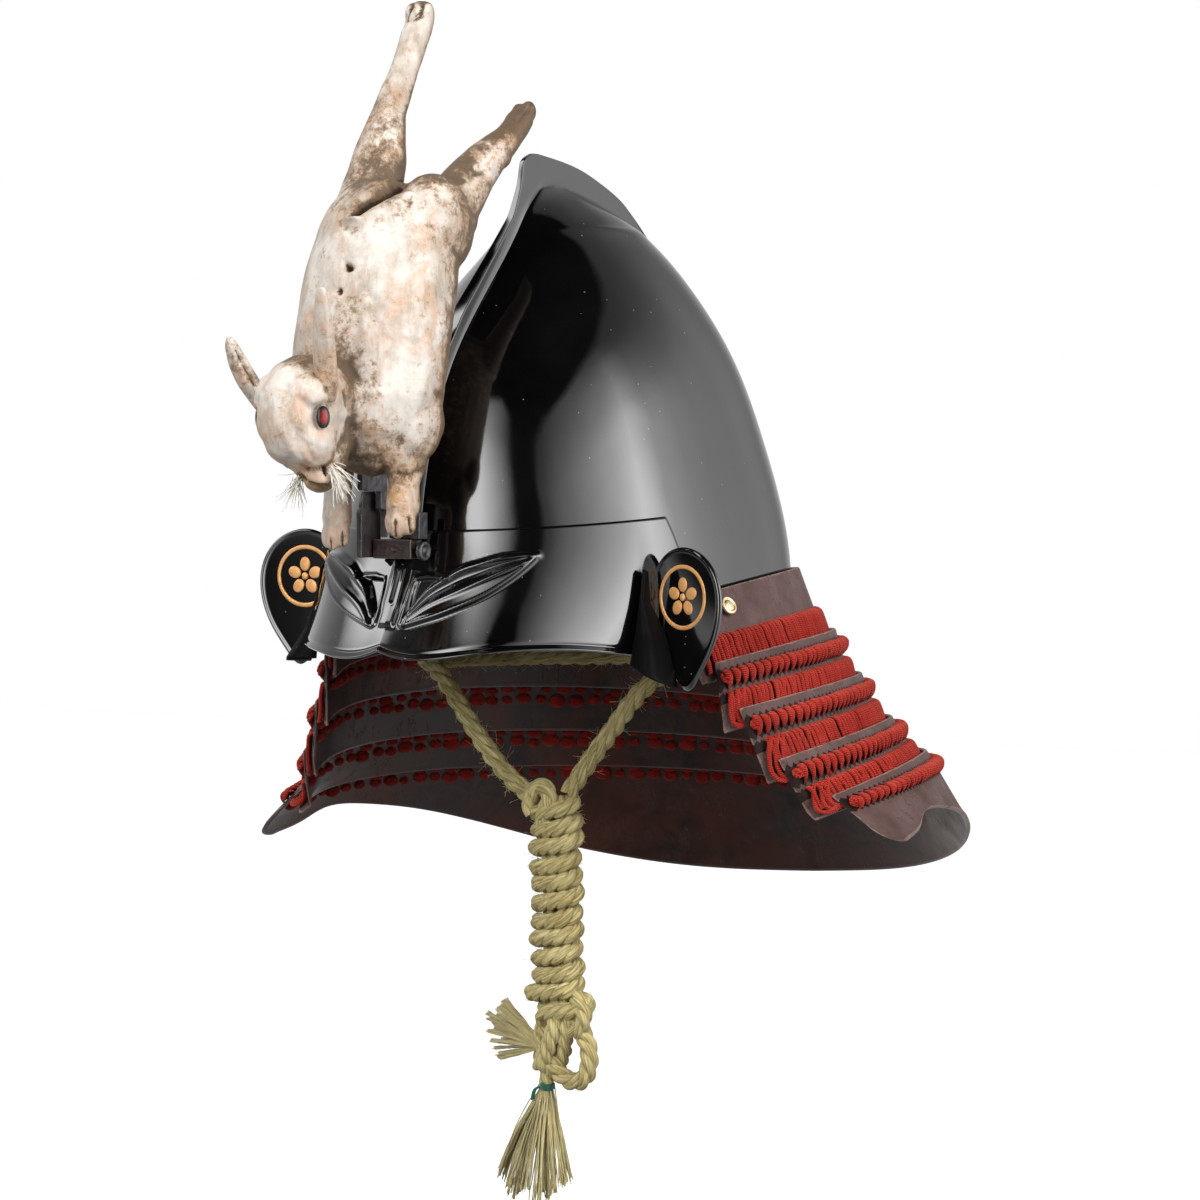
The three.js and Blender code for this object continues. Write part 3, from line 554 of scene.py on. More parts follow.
def fuzz(name, lines, count, reach, seed, material):
    """Loose hairs that stand off a cord's strands."""
    pick = np.random.default_rng(seed)
    hairs = []
    for _ in range(count):
        line = lines[pick.integers(len(lines))]
        i = pick.integers(2, len(line) - 6)
        middle = np.mean([other[min(i, len(other) - 1)] for other in lines], axis=0)
        along = unit(line[i + 2] - line[i - 2])
        away = unit(line[i] - middle + pick.normal(0, 0.6, 3))
        root = line[i] + unit(line[i] - middle) * STRAND_HALF * 0.7
        length = reach * pick.uniform(0.4, 1.5)
        bend = pick.normal(0, 0.5, 3)
        way = unit(away * pick.uniform(0.3, 1.0) + along * pick.choice([-1, 1]) * pick.uniform(0.3, 1.4))
        t = np.linspace(0, 1, 6)[:, None]
        hairs.append(root + way * length * t + bend * length * t * t * 0.5)
    return swept(name, hairs, 0.075, 0.075, material, 3)


def make_chin_cord():
    line = smooth_line(CORD_ROUTE, 421)
    lines = strands(line, 3, STRAND_OFF, LAY_LENGTH, wander=0.12)
    cord = swept("chin_cord_rope", lines, STRAND_HALF, STRAND_HALF, JUTE, 14)
    hairs = fuzz("chin_cord_hairs", lines, 900, 4.2, 11, JUTE_PALE)
    return line, place(cord, "jute", "chin_cord"), place(hairs, "jute")


def make_bundle():
    """The wrapped bundle: a cord wound round two others, with its last turn standing out at the foot."""
    turns, top, foot = 11.4, -64.5, -160
    t = np.linspace(0, 1, 900)
    turn = -2 * math.pi * turns * t + 0.5
    last = smooth_step(0.885, 0.93, t)
    wide = 9.4 + 5.6 * last + 0.35 * np.sin(t * 43) - 0.8 * (1 - smooth_step(0, 0.09, t))
    deep = 5.4 + 0.25 * np.sin(t * 31 + 1)
    middle = 7.6 + 1.2 * t + 1.2 * last + 0.5 * np.sin(t * 17)
    x = middle + wide * np.sign(np.cos(turn)) * np.abs(np.cos(turn)) ** 0.86
    y = -14 + deep * np.sign(np.sin(turn)) * np.abs(np.sin(turn)) ** 0.86
    z = lerp(top, foot, t) + 0.5 * np.sin(turn * 0.37) + 0.9 * np.sin(turn)
    wrap = np.stack([x, y, z], 1)
    head = smooth_line([(-3, -19, -70), (-2, -20, -62), (3.5, -20.5, -57), (8, -20, -60), (6, -19, -67),
        (2, -17, -75)], 60)
    core = [smooth_line([(x0, -14, -62), (x0 + 0.5, -14, -110), (x0 + 1.5, -14, -157)], 60) for x0
        in (4.5, 12)]
    lines = strands(wrap, 3, 1.95, 16.0, wander=0.22) + strands(head, 3, 1.9, 18.0)
    for part in core:
        lines += strands(part, 3, 1.9, 21.0)
    bundle = swept("cord_bundle_wrap", lines, 2.2, 2.2, JUTE, 12)
    hairs = fuzz("cord_bundle_hairs", strands(wrap, 3, 1.95, 16.0), 900, 3.2, 12, JUTE_PALE)
    return place(bundle, "jute", "cord_bundle"), place(hairs, "jute")


def make_loop():
    line = smooth_line(LOOP_ROUTE, 131)
    lines = strands(line, 3, STRAND_OFF, 20.0, 1.0)
    return line, place(swept("cord_loop_rope", lines, STRAND_HALF, STRAND_HALF, JUTE, 14), "jute",
        "cord_loop")


def make_knot():
    """The foot of the bundle: the cords that pass into the loop, the tuft's neck and the tassel's neck."""
    routes = [[(18, -14, -152), (24, -17, -157), (25.5, -17, -163), (21, -16, -169), (15, -13, -168)],
        [(8, -14, -155), (11, -18.5, -162), (9.5, -19.5, -171), (5, -18.5, -180), (0.5, -16, -186),
        (-1, -13, -181)], [(5, -12, -152), (0.5, -11.5, -158), (-0.5, -13, -168), (-0.5, -14, -175),
        (2, -15.5, -184)], [(13, -14, -156), (15.5, -16.5, -164), (13.5, -15, -173), (10, -12, -181),
        (6, -11, -186)], [(2, -12, -157), (4.5, -12, -168), (4, -12.5, -178), (3.5, -14, -186)],
        [(3.4, -14, -182), (4.8, -14.5, -187), (2.6, -14, -190.5), (2.8, -14, -194.5)],]
    lines = []
    for route, spread in zip(routes, (1.9, 1.95, 1.8, 1.9, 1.8, 1.6)):
        lines += strands(smooth_line(route, 70), 3, spread, 18.0, spread * 3)
    return place(swept("cord_knot", lines, 2.1, 2.1, JUTE, 12), "jute")


def brush(name, root, tips, spread, count, half, seed, droop, nodes):
    """Frayed yarns from a root to a spread of tips, a few of them in clumps."""
    pick = np.random.default_rng(seed)
    lines, swell = [], []
    root, spread = np.array(root, float), np.array(spread, float)
    clumps = [np.array(tips[k % len(tips)], float) + pick.normal(0, 1, 3) * spread for k in range(26)]
    for k in range(count):
        tip = clumps[k % len(clumps)] + pick.normal(0, 1, 3) * spread * 0.35
        start = root + pick.normal(0, 0.9, 3) * np.array([1.3, 1.3, 0.4])
        t = np.linspace(0, 1, 14)[:, None]
        bow = (tip - start) * np.array([-0.45, -0.3, 0]) * np.sin(t * math.pi) * droop
        wave = np.stack([np.sin(t[:, 0] * 6 + k), np.cos(t[:, 0] * 5 + k * 2), 0 * t[:, 0]], 1)
        line = start + (tip - start) * t + bow + wave * 0.35 * t + pick.normal(0, 0.12, (14, 3)) * t
        lines.append(line)
        swell.append(lerp(1.0, pick.uniform(0.45, 0.9), t[:, 0]) * pick.uniform(0.7, 1.2))
    return place(swept(name, lines, half, half, JUTE_PALE, 5, swell=swell), "jute", *nodes)


def make_tassel():
    foot = [(-23, -14, -238), (-17, -12, -243), (-11, -17, -245), (-4, -13, -245.5), (2, -17, -246),
        (7, -14, -243), (11, -12, -240)]
    tassel = brush("tassel_yarns", (2.6, -14, -195), foot, (2.2, 3.4, 2.2), 300, 0.4, 21, -0.22,
        ("cord_tassel",))
    tips = [(-20, -17, -159), (-27, -17, -166), (-27, -18, -170), (-26, -15, -173), (-24, -17, -177),
        (-22, -15, -181), (-20, -17, -184)]
    tuft = brush("tuft_yarns", (0.5, -15.5, -177), tips, (1.2, 2.2, 1.3), 330, 0.46, 22, 0.1, ("cord_tuft",))
    t = np.linspace(0, 1, 160)
    turn = 2 * math.pi * 4 * t
    winding = np.stack([2.8 + 3.1 * np.cos(turn), -14 + 3.1 * np.sin(turn), lerp(-194.4, -196.8, t)], 1)
    tail = smooth_line([(0, -16, -196), (-2, -17.2, -197), (-3.2, -17.4, -199.5), (-3.8, -17, -202)], 14)
    tie = swept("tie_thread", [winding, tail, tail + (0.8, 0.3, 0.4)], 0.55, 0.55, THREAD, 8)
    return tassel, tuft, place(tie, "thread", "tassel_tie")


def make_cords():
    line, cord, hairs = make_chin_cord()
    bundle, bundle_hairs = make_bundle()
    loop_line, loop = make_loop()
    knot = make_knot()
    tassel, tuft, tie = make_tassel()


make_cords()


# Black lacquer with a soft haze, dust, and worn brown edges
def lacquer_material(name, edge_colour, wear, gloss=1.0, dull=0.0):
    material, tree, shader, where = new_material(name, Specular_IOR_Level=gloss)
    dust = use(tree, DUST, {"Vector": where, "Specks": 0.5})
    worn = use(tree, WEAR, {"Vector": where, "Edge": attribute(tree, "edge"), "Scale": 90.0, "Amount": wear})
    base = mix(tree, ramp(tree, dust["Haze"], [(0.35, 0.0), (0.7, 1.0)]), (0.0011, 0.0011, 0.0013),
        (0.0038, 0.0033, 0.0033))
    base = mix(tree, worn["Mask"], base, edge_colour)
    base = mix(tree, dust["Mask"], base, (0.3, 0.29, 0.28))
    rough = ramp(tree, dust["Haze"], [(0.3, 0.045 + dull), (0.75, 0.1 + dull)])
    coat(tree, shader, base, mix(tree, worn["Mask"], rough, (0.45, 0.45, 0.45)))
    ripple = noise_of(tree, where, 22.0, 2, 0.4)
    fine = noise_of(tree, where, 420.0, 3, 0.5)
    height = maths(tree, "ADD", ripple, maths(tree, "MULTIPLY", fine, 0.012))
    bump(tree, shader, maths(tree, "SUBTRACT", height, maths(tree, "MULTIPLY", worn["Mask"], 0.05)), 0.0011,
        0.5)
    return material


LACQUER = lacquer_material("black_lacquer", (0.05, 0.018, 0.01), 0.18)
OLD_LACQUER = lacquer_material("old_lacquer", (0.03, 0.012, 0.008), 0.0, 0.05, 0.4)


# Bowl: the CAD's levels, with the fin drawn out of it in a soft fillet
BOWL = table("z front back half nose", (8, -116, 121, 100, 1.0), (55, -113, 118, 98, 1.02),
    (100, -104, 108, 86.5, 1.12), (143, -83, 92, 69, 1.25), (173, -57, 75, 47.5, 1.32),
    (196, -37, 56, 25, 1.3), (208, -27, 33, 11, 1.2), (216, -17, 3, 1, 1.0))
FIN_FRONT = table("z y thick", (56, -118, 8), (98, -111, 8), (135, -95, 7.5), (158, -79, 7), (187, -52, 5),
    (203, -38, 3.6), (217, -32, 2.8), (228.7, -29.9, 2.4), (230.2, -29.2, 2.4), (231, -27.2, 2.3),
    (231.5, -23, 2.2))
FIN_BACK = table("z y thick", (60, 120, 4), (98, 114.5, 3.8), (128, 107, 3.4), (155, 97, 3), (177, 85, 2.6),
    (193, 72, 2.4), (203, 61, 2.4), (213, 48, 2.4), (218, 37, 2.4), (223, 24, 2.4), (226, 15.2, 2.4),
    (228, 7.2, 2.4), (229.6, -2.4, 2.4), (230.5, -7.5, 2.4), (231.1, -13, 2.3), (231.5, -18.5, 2.2))
BOWL_WALL, FIN_FILLET, BOWL_RIM = 2.0, 8.0, 8.0
bowl_front, bowl_back, bowl_half, bowl_nose = (column(BOWL, "z", part) for part
    in ("front", "back", "half", "nose"))


def bowl_point(z, turn, out=0.0):
    """A point on the bowl's outer face, moved out in millimetres; turn runs from the front to the back."""
    z, turn, out = np.broadcast_arrays(np.asarray(z, float), turn, out)
    low = np.clip(z, 8, 216)
    front, back = bowl_front(low) - out, bowl_back(low) + out
    half = np.maximum(bowl_half(low) + out, 0.5)
    c, s = np.cos(turn), np.sin(turn)
    power = np.where(c > 0, bowl_nose(low), 1.0)
    return np.stack([half * np.sign(s) * np.abs(s) ** power, (front + back) / 2 - (back - front) / 2 * c,
        z], -1)


def table_line(rows, key, name):
    at = np.array([row[key] for row in rows], float)
    value = np.array([row[name] for row in rows], float)
    if len(at) > 4:
        fine = np.linspace(at[0], at[-1], 600)
        smooth = np.interp(fine, at, value)
        kernel = np.hanning(37) / np.hanning(37).sum()
        padded = np.concatenate([2 * smooth[0] - smooth[18:0:-1], smooth,
            2 * smooth[-1] - smooth[-2:-20:-1]])
        return lambda x: np.interp(x, fine, np.convolve(padded, kernel, "valid"))
    return lambda x: np.interp(x, at, value)


def make_bowl():
    levels = np.concatenate([np.linspace(BOWL_RIM, 196, 84), np.linspace(198, 216, 20),
        np.linspace(217, 229, 10), np.linspace(229.4, 231.5, 8)])
    front_y, front_t = table_line(FIN_FRONT, "z", "y"), table_line(FIN_FRONT, "z", "thick")
    back_y, back_t = table_line(FIN_BACK, "z", "y"), table_line(FIN_BACK, "z", "thick")
    turns = np.pi * (np.linspace(0, 1, 76) - 0.09 * np.sin(np.linspace(0, 2 * np.pi, 76)))
    outer, inner, edge = [], [], []
    for z in levels:
        low = min(z, 216)
        fin_on = float(smooth_step(46, 62, z))
        body = bowl_point(low, turns)
        f, b = body[0, 1], body[-1, 1]
        yf = min(lerp(f - 0.3, float(front_y(max(z, 56))), fin_on),
            f - 0.3) if z <= 216 else float(front_y(z))
        yb = max(lerp(b + 0.3, float(back_y(max(z, 60))), fin_on), b + 0.3) if z <= 216 else float(back_y(z))
        above = max(z - 216, 0)
        if above > 0:
            high = float(smooth_step(216, 224, z))
            f, b = lerp(f, yf + 0.35 * (yb - yf), high), lerp(b, yf + 0.65 * (yb - yf), high)
            body = np.stack([body[:, 0] * (1 - high), np.linspace(f, b, len(turns)),
                np.full(len(turns), z)], 1)
        ys = [yf, yf, yf + 0.05, yf + 0.45] + [lerp(yf + 0.45, f, g) for g in np.linspace(0.12, 0.94, 7)]
        ye = [lerp(b, yb - 0.45, g) for g in np.linspace(0.06, 0.88, 7)] + [yb - 0.45, yb - 0.05, yb, yb]
        y = np.concatenate([ys, body[:, 1], ye])
        spread = np.concatenate([-1.2 * np.maximum(f - np.array(ys), 0), np.abs(body[:, 0]),
            -1.2 * np.maximum(np.array(ye) - b, 0)]) - 1.6 * above
        part = smooth_step(0.0, 0.35, (y - yf) / (yb - yf))
        thick = lerp(float(front_t(max(z, 56))), float(back_t(max(z, 60))), part) / 2 * fin_on
        k = FIN_FILLET * fin_on + 0.01
        h = np.maximum(k - np.abs(spread - thick), 0) / k
        x = np.maximum(spread, thick) + h * h * k / 4
        x[0] = x[-1] = 0
        x[1] = x[-2] = max(min(thick[0], x[3]) - 0.45, 0.05)
        x[2], x[-3] = max(x[3] - 0.12, 0.08), max(x[-4] - 0.12, 0.08)
        ring = np.stack([x, y, np.full_like(x, z)], 1)
        outer.append(np.concatenate([ring, ring[::-1][1:-1] * [-1, 1, 1]]))
        level = min(z, 205)
        inside = bowl_point(level, turns, -BOWL_WALL)
        ring = np.concatenate([np.tile(inside[0], (11, 1)), inside, np.tile(inside[-1], (11, 1))])
        inner.append(np.concatenate([ring, ring[::-1][1:-1] * [-1, 1, 1]]))
        mark = np.zeros(len(x))
        mark[1:4] = mark[-4:-1] = 0.42
        edge.append(np.concatenate([mark, mark[::-1][1:-1]]))
    outer, inner = np.array(outer), np.array(inner)
    rows, cols = outer.shape[:2]
    near_top = (smooth_step(186, 206, levels) * smooth_step(229, 222, levels))[1:-1, None]
    for _ in range(16):
        even = (outer[:-2, :, 0] + 2 * outer[1:-1, :, 0] + outer[2:, :, 0]) / 4
        outer[1:-1, :, 0] = lerp(outer[1:-1, :, 0], even, near_top)
    keep = int(np.argmax(levels > 204))
    points = np.concatenate([outer.reshape(-1, 3), inner[:keep].reshape(-1, 3)])
    faces = []
    for base, count, flip in ((0, rows, False), (rows * cols, keep, True)):
        grid = np.arange(count * cols).reshape(count, cols) + base
        quads = np.stack([grid[:-1], np.roll(grid, -1, 1)[:-1], np.roll(grid, -1, 1)[1:], grid[1:]],
            -1).reshape(-1, 4)
        faces += (quads[:, ::-1] if flip else quads).tolist()
        top = grid[-1]
        half = cols // 2
        for i in range(half):
            quad = [top[i], top[i + 1], top[-i - 1], top[-i]] if i else [top[0], top[1], top[-1]]
            if i == half - 1:
                quad = [top[i], top[half], top[-i]]
            faces.append([int(q) for q in (quad[::-1] if flip else quad)])
    low_outer, low_inner = np.arange(cols), np.arange(cols) + rows * cols
    faces += np.stack([low_outer, low_inner, np.roll(low_inner, -1), np.roll(low_outer, -1)], -1).tolist()
    piece = make_piece("bowl", points, faces, LACQUER)
    put_attribute(piece, "edge", np.concatenate([np.array(edge).ravel(), np.zeros(keep * cols)]))
    return place(make_outward(piece), "lacquer", "bowl_half_left", "bowl_half_right")


make_bowl()


# Brow plate: embossed eyebrows meet in a V over the nose, with wrinkles and sunk panels above them
LAY_GAP, BROW_WALL = 1.0, 1.8
BROW_EDGE = table("turn z", (0, 8), (4, 5.5), (20, 6.5), (42, 8.5), (60, 4.5), (76, 0))
EYEBROW_LINES = table("turn low middle top", (4, 18.3, 19.6, 21.4), (6.1, 19.6, 23.0, 27.1),
    (8.6, 21.2, 26.8, 33.6), (12.6, 23.8, 31.2, 39.3), (15.9, 26.4, 34.0, 43.3), (20.6, 30.4, 38.2, 46.4),
    (25.3, 35.8, 42.4, 49.0), (30.0, 42.5, 46.6, 49.9), (34.0, 49.2, 49.8, 50.4))
BROW_RIM = [(3.4, 20), (3.7, 28), (4.1, 35), (4.9, 39.8), (8, 41), (13.2, 40.4)]
ARC = 1.8
brow_edge = column(BROW_EDGE, "turn", "z")
eyebrow_low, eyebrow_middle, eyebrow_top = (column(EYEBROW_LINES, "turn", part) for part
    in ("low", "middle", "top"))


def from_line(x, y, line):
    """Distance from each point to a polyline."""
    best = np.full(x.shape, 1e9)
    for (x0, y0), (x1, y1) in zip(line[:-1], line[1:]):
        dx, dy = x1 - x0, y1 - y0
        t = np.clip(((x - x0) * dx + (y - y0) * dy) / (dx * dx + dy * dy), 0, 1)
        best = np.minimum(best, np.hypot(x - x0 - t * dx, y - y0 - t * dy))
    return best


def ridge(x, y, line, width, height):
    return height * np.exp(-(from_line(x, y, line) / width) ** 2)


def brow_relief(turn, z):
    """Height of the embossing over the plain plate."""
    away = np.abs(turn)
    arc = away * ARC
    clipped = np.clip(away, 4, 34)
    low, middle, top = eyebrow_low(clipped), eyebrow_middle(clipped), eyebrow_top(clipped)
    along = smooth_step(3.0, 5.5, away) * (1 - smooth_step(32.5, 35.5, away))
    slim = np.clip((top - low) / 6, 0.05, 1)
    leaf = smooth_step(low - 1.2, low + 1.0, z) * (1 - smooth_step(top - 0.4, top + 2.2, z)) * along
    height = 3.4 * leaf * slim ** 0.5
    height += 0.9 * np.exp(-((z - middle) / 0.9) ** 2) * along * slim
    height -= 1.7 * np.exp(-((z - (middle + top) / 2 - 0.4) / (
        0.9 + 0.16 * (top - middle))) ** 2) * along * slim
    height += 1.0 * np.exp(-((z - top) / 0.75) ** 2) * along
    height += 0.7 * np.exp(-((z - low - 0.6) / 0.8) ** 2) * along
    rim = [(a * ARC, b) for a, b in BROW_RIM]
    height += ridge(arc, z, rim, 1.0, 1.1)
    panel = smooth_step(top + 1.2, top + 3.0, z) * (1 - smooth_step(38.6, 40.2, z)) * smooth_step(4.2, 5.2,
        away)
    height -= 1.5 * panel * (1 - smooth_step(12, 15, away))
    bar = smooth_step(-4.6, -2.6, -arc) * smooth_step(17.5, 21, z) * (1 - smooth_step(44, 50, z))
    height += 1.6 * bar
    height -= ridge(arc, z, [(0, 30), (0, 52)], 0.7, 1.5)
    height += 0.8 * np.exp(-((arc - 4.2) / 1.3) ** 2) * smooth_step(24, 30, z) * (1 - smooth_step(46, 52, z))
    return height


def brow_point(turn, v, out, relief=1.0):
    """A point on the brow plate: v runs from the top seam to the lower edge."""
    away = np.abs(turn)
    top = 61 + 6 * (away / 66) ** 2
    z = top + (brow_edge(away) - top) * v
    flare = 20 * v ** 1.6 * np.maximum(np.cos(np.radians(away * 90 / 58)), 0)
    lip = 0.7 * smooth_step(0.965, 1.0, v) - 0.5 * np.exp(-((v - 0.95) / 0.012) ** 2)
    height = out + flare + relief * (brow_relief(turn, z) + lip)
    point = bowl_point(np.maximum(z, 8), np.radians(turn), height)
    point[..., 2] = z
    return point


def make_brow():
    even = np.linspace(-1, 1, 381)
    part = np.sign(even) * (0.62 * np.abs(even) + 0.38 * np.abs(even) ** 3)
    v = np.concatenate([np.linspace(0, 0.94, 88), np.linspace(0.945, 1, 14)])
    part, v = np.meshgrid(part, v, indexing="ij")
    turn = part * (66 + 10 * v ** 0.9)
    thick = BROW_WALL * np.clip(np.minimum(v, 1 - v) / 0.012, 0.25, 1) ** 0.5
    outer = brow_point(turn, v, LAY_GAP + thick)
    inner = brow_point(turn, v, LAY_GAP, 0.0)
    edge = np.maximum(smooth_step(0.975, 1.0, v), smooth_step(0.97, 1.0, np.abs(part))) * 0.4
    piece = shell("brow_plate_embossed", outer, inner, LACQUER, {"edge": edge})
    return place(make_outward(piece), "lacquer", "brow_plate")


make_brow()


# Turn-backs: a lacquered face with a gilt ring and a five-petalled flower, on a fold from the brow
FACE_OUTLINE = [(0, 22), (13, 18), (21.5, 8), (23.5, -6), (19, -21), (10.5, -34), (3, -41), (-4, -36),
    (-11.5, -24), (-17, -10), (-19.5, 4), (-12.5, 17.5)]
FACE_CENTRE, FACE_SAG, FACE_TURN, FACE_THICK = (106, -54, 35), 3.4, 11, 2.0
FOLD = table("z in_x in_y out_x out_y out_z bulge", (44, 89, -62, 90.5, -60, 43, 0.5),
    (30, 89, -64.5, 90.4, -58, 29, 2.4), (15, 88.5, -67, 95, -53, 16, 7),
    (1, 87.5, -70, 103, -54.5, -3, 13))
RING_RADIUS, RING_WIDTH = 13.5, 1.0
PETALS, PETAL_OFF, PETAL_LONG, PETAL_WIDE = 5, 5.6, 3.3, 2.7


def gilt_material(name, colour, metallic, rough):
    material, tree, shader, where = new_material(name, Metallic=metallic, Specular_IOR_Level=0.5)
    tarnish = noise_of(tree, where, 320.0, 5, 0.65)
    worn = use(tree, WEAR, {"Vector": where, "Edge": 0.2, "Scale": 480.0, "Amount": 0.42})
    base = mix(tree, ramp(tree, tarnish, [(0.35, 0.0), (0.7, 1.0)]), tuple(c * 0.72 for c in colour), colour)
    base = mix(tree, maths(tree, "MULTIPLY", worn["Mask"], 0.55), base, tuple(c * 0.35 for c in colour))
    coat(tree, shader, base, ramp(tree, tarnish, [(0.3, rough + 0.18), (0.75, rough)]))
    bump(tree, shader, tarnish, 0.00012, 0.6)
    return material


GILT_PAINT = gilt_material("gilt_paint", (0.86, 0.44, 0.16), 0.25, 0.34)
GILT_METAL = gilt_material("gilt_metal", (0.86, 0.69, 0.4), 0.9, 0.28)


def face_place(side, o, z, off):
    """A point of the turn-back: o outward and z up from its ring's centre, off forward of its back."""
    o, z, off = np.broadcast_arrays(np.asarray(o, float), z, off)
    turn = -side * math.radians(FACE_TURN)
    x, y = side * o, -off
    return np.stack([side * FACE_CENTRE[0] + x * math.cos(turn) - y * math.sin(turn),
        FACE_CENTRE[1] + x * math.sin(turn) + y * math.cos(turn), FACE_CENTRE[2] - side * FACE_SAG + z], -1)


def closed_line(points, count):
    points = np.array(points, float)
    wrapped = np.concatenate([points[-3:], points, points[:4]])
    line = smooth_line(np.c_[wrapped, np.zeros(len(wrapped))], 4000)[:, :2]
    first = int(np.argmin(np.linalg.norm(line[:1500] - points[0], axis=1)))
    last = 2000 + int(np.argmin(np.linalg.norm(line[2000:] - points[0], axis=1)))
    pick = np.linspace(first, last, count, endpoint=False).astype(int)
    return line[pick]


def make_face(side):
    outline = closed_line(FACE_OUTLINE, 160)
    radii = np.concatenate([np.linspace(0.02, 0.9, 22), [0.93, 0.95, 0.965, 0.98, 0.99, 0.996, 1.0]])
    grids = {}
    for name, sign in (("front", 1), ("back", -1)):
        rows = []
        for r in radii:
            round_off = 0.9 * (1 - math.sqrt(max(1 - max((r - 0.955) / 0.045, 0) ** 2, 0)))
            bead = 0.5 * math.exp(-((r - 0.955) / 0.02) ** 2) if sign > 0 else 0
            dish = -0.7 * (1 - r * r) if sign > 0 else 0
            off = (FACE_THICK + dish + bead - round_off) if sign > 0 else round_off
            rows.append(face_place(side, outline[:, 0] * r, outline[:, 1] * r, off))
        grids[name] = np.array(rows)
    points, faces = [], []
    for name in ("front", "back"):
        start = len(points)
        points.extend(grids[name].reshape(-1, 3))
        grid = np.arange(grids[name].shape[0] * 160).reshape(-1, 160) + start
        faces += np.stack([grid[:-1], grid[1:], np.roll(grid, -1, 1)[1:], np.roll(grid, -1, 1)[:-1]],
            -1).reshape(-1, 4).tolist()
        faces.append(grid[0].tolist())
    front, back = np.arange(160) + (len(radii) - 1) * 160, np.arange(160) + (2 * len(radii) - 1) * 160
    faces += np.stack([front, np.roll(front, -1), np.roll(back, -1), back], -1).tolist()
    face = make_piece("face", points, faces, LACQUER)
    rim = np.repeat(smooth_step(0.965, 1.0, radii), 160) * 0.5
    put_attribute(face, "edge", np.concatenate([rim, rim]))
    return make_outward(face)


def make_fold(side):
    u, v = np.meshgrid(np.linspace(0, 1, 40), np.linspace(0, 1, 60), indexing="ij")
    at = {name: np.interp(v * 3, range(4), [row[name] for row in FOLD]) for name in FOLD[0]}
    # The lower edge swings down to the face's tip
    drop = (6.0 if side > 0 else -2.0) * smooth_step(0.75, 1, v) * u

    def grid(out):
        bulge = at["bulge"] * np.sin(u * np.pi) ** 0.9 + out
        x = lerp(at["in_x"], at["out_x"], u) + bulge * 0.5
        y = lerp(at["in_y"], at["out_y"], u) - bulge * 0.86
        return np.stack([side * x, y, lerp(at["z"], at["out_z"], u) - drop], -1)
    thick = 1.7 * np.clip(np.minimum(v, 1 - v) / 0.03, 0.2, 1) ** 0.5
    edge = np.maximum(smooth_step(0.96, 1, v), smooth_step(0.04, 0, v)) * 0.5
    return make_outward(shell("fold", grid(thick), grid(0.0), OLD_LACQUER, {"edge": edge}))


def join(name, *pieces):
    """One object from several, their meshes together, each with its own material."""
    data = bmesh.new()
    materials = []
    for piece in pieces:
        before = len(data.faces)
        data.from_mesh(piece.data)
        data.faces.ensure_lookup_table()
        material = piece.data.materials[0]
        if material not in materials:
            materials.append(material)
        for face in data.faces[before:]:
            face.material_index = materials.index(material)
    mesh = bpy.data.meshes.new(name)
    data.to_mesh(mesh)
    data.free()
    for material in materials:
        mesh.materials.append(material)
    for piece in pieces:
        bpy.data.objects.remove(piece)
    joined = bpy.data.objects.new(name, mesh)
    scene.collection.objects.link(joined)
    return joined


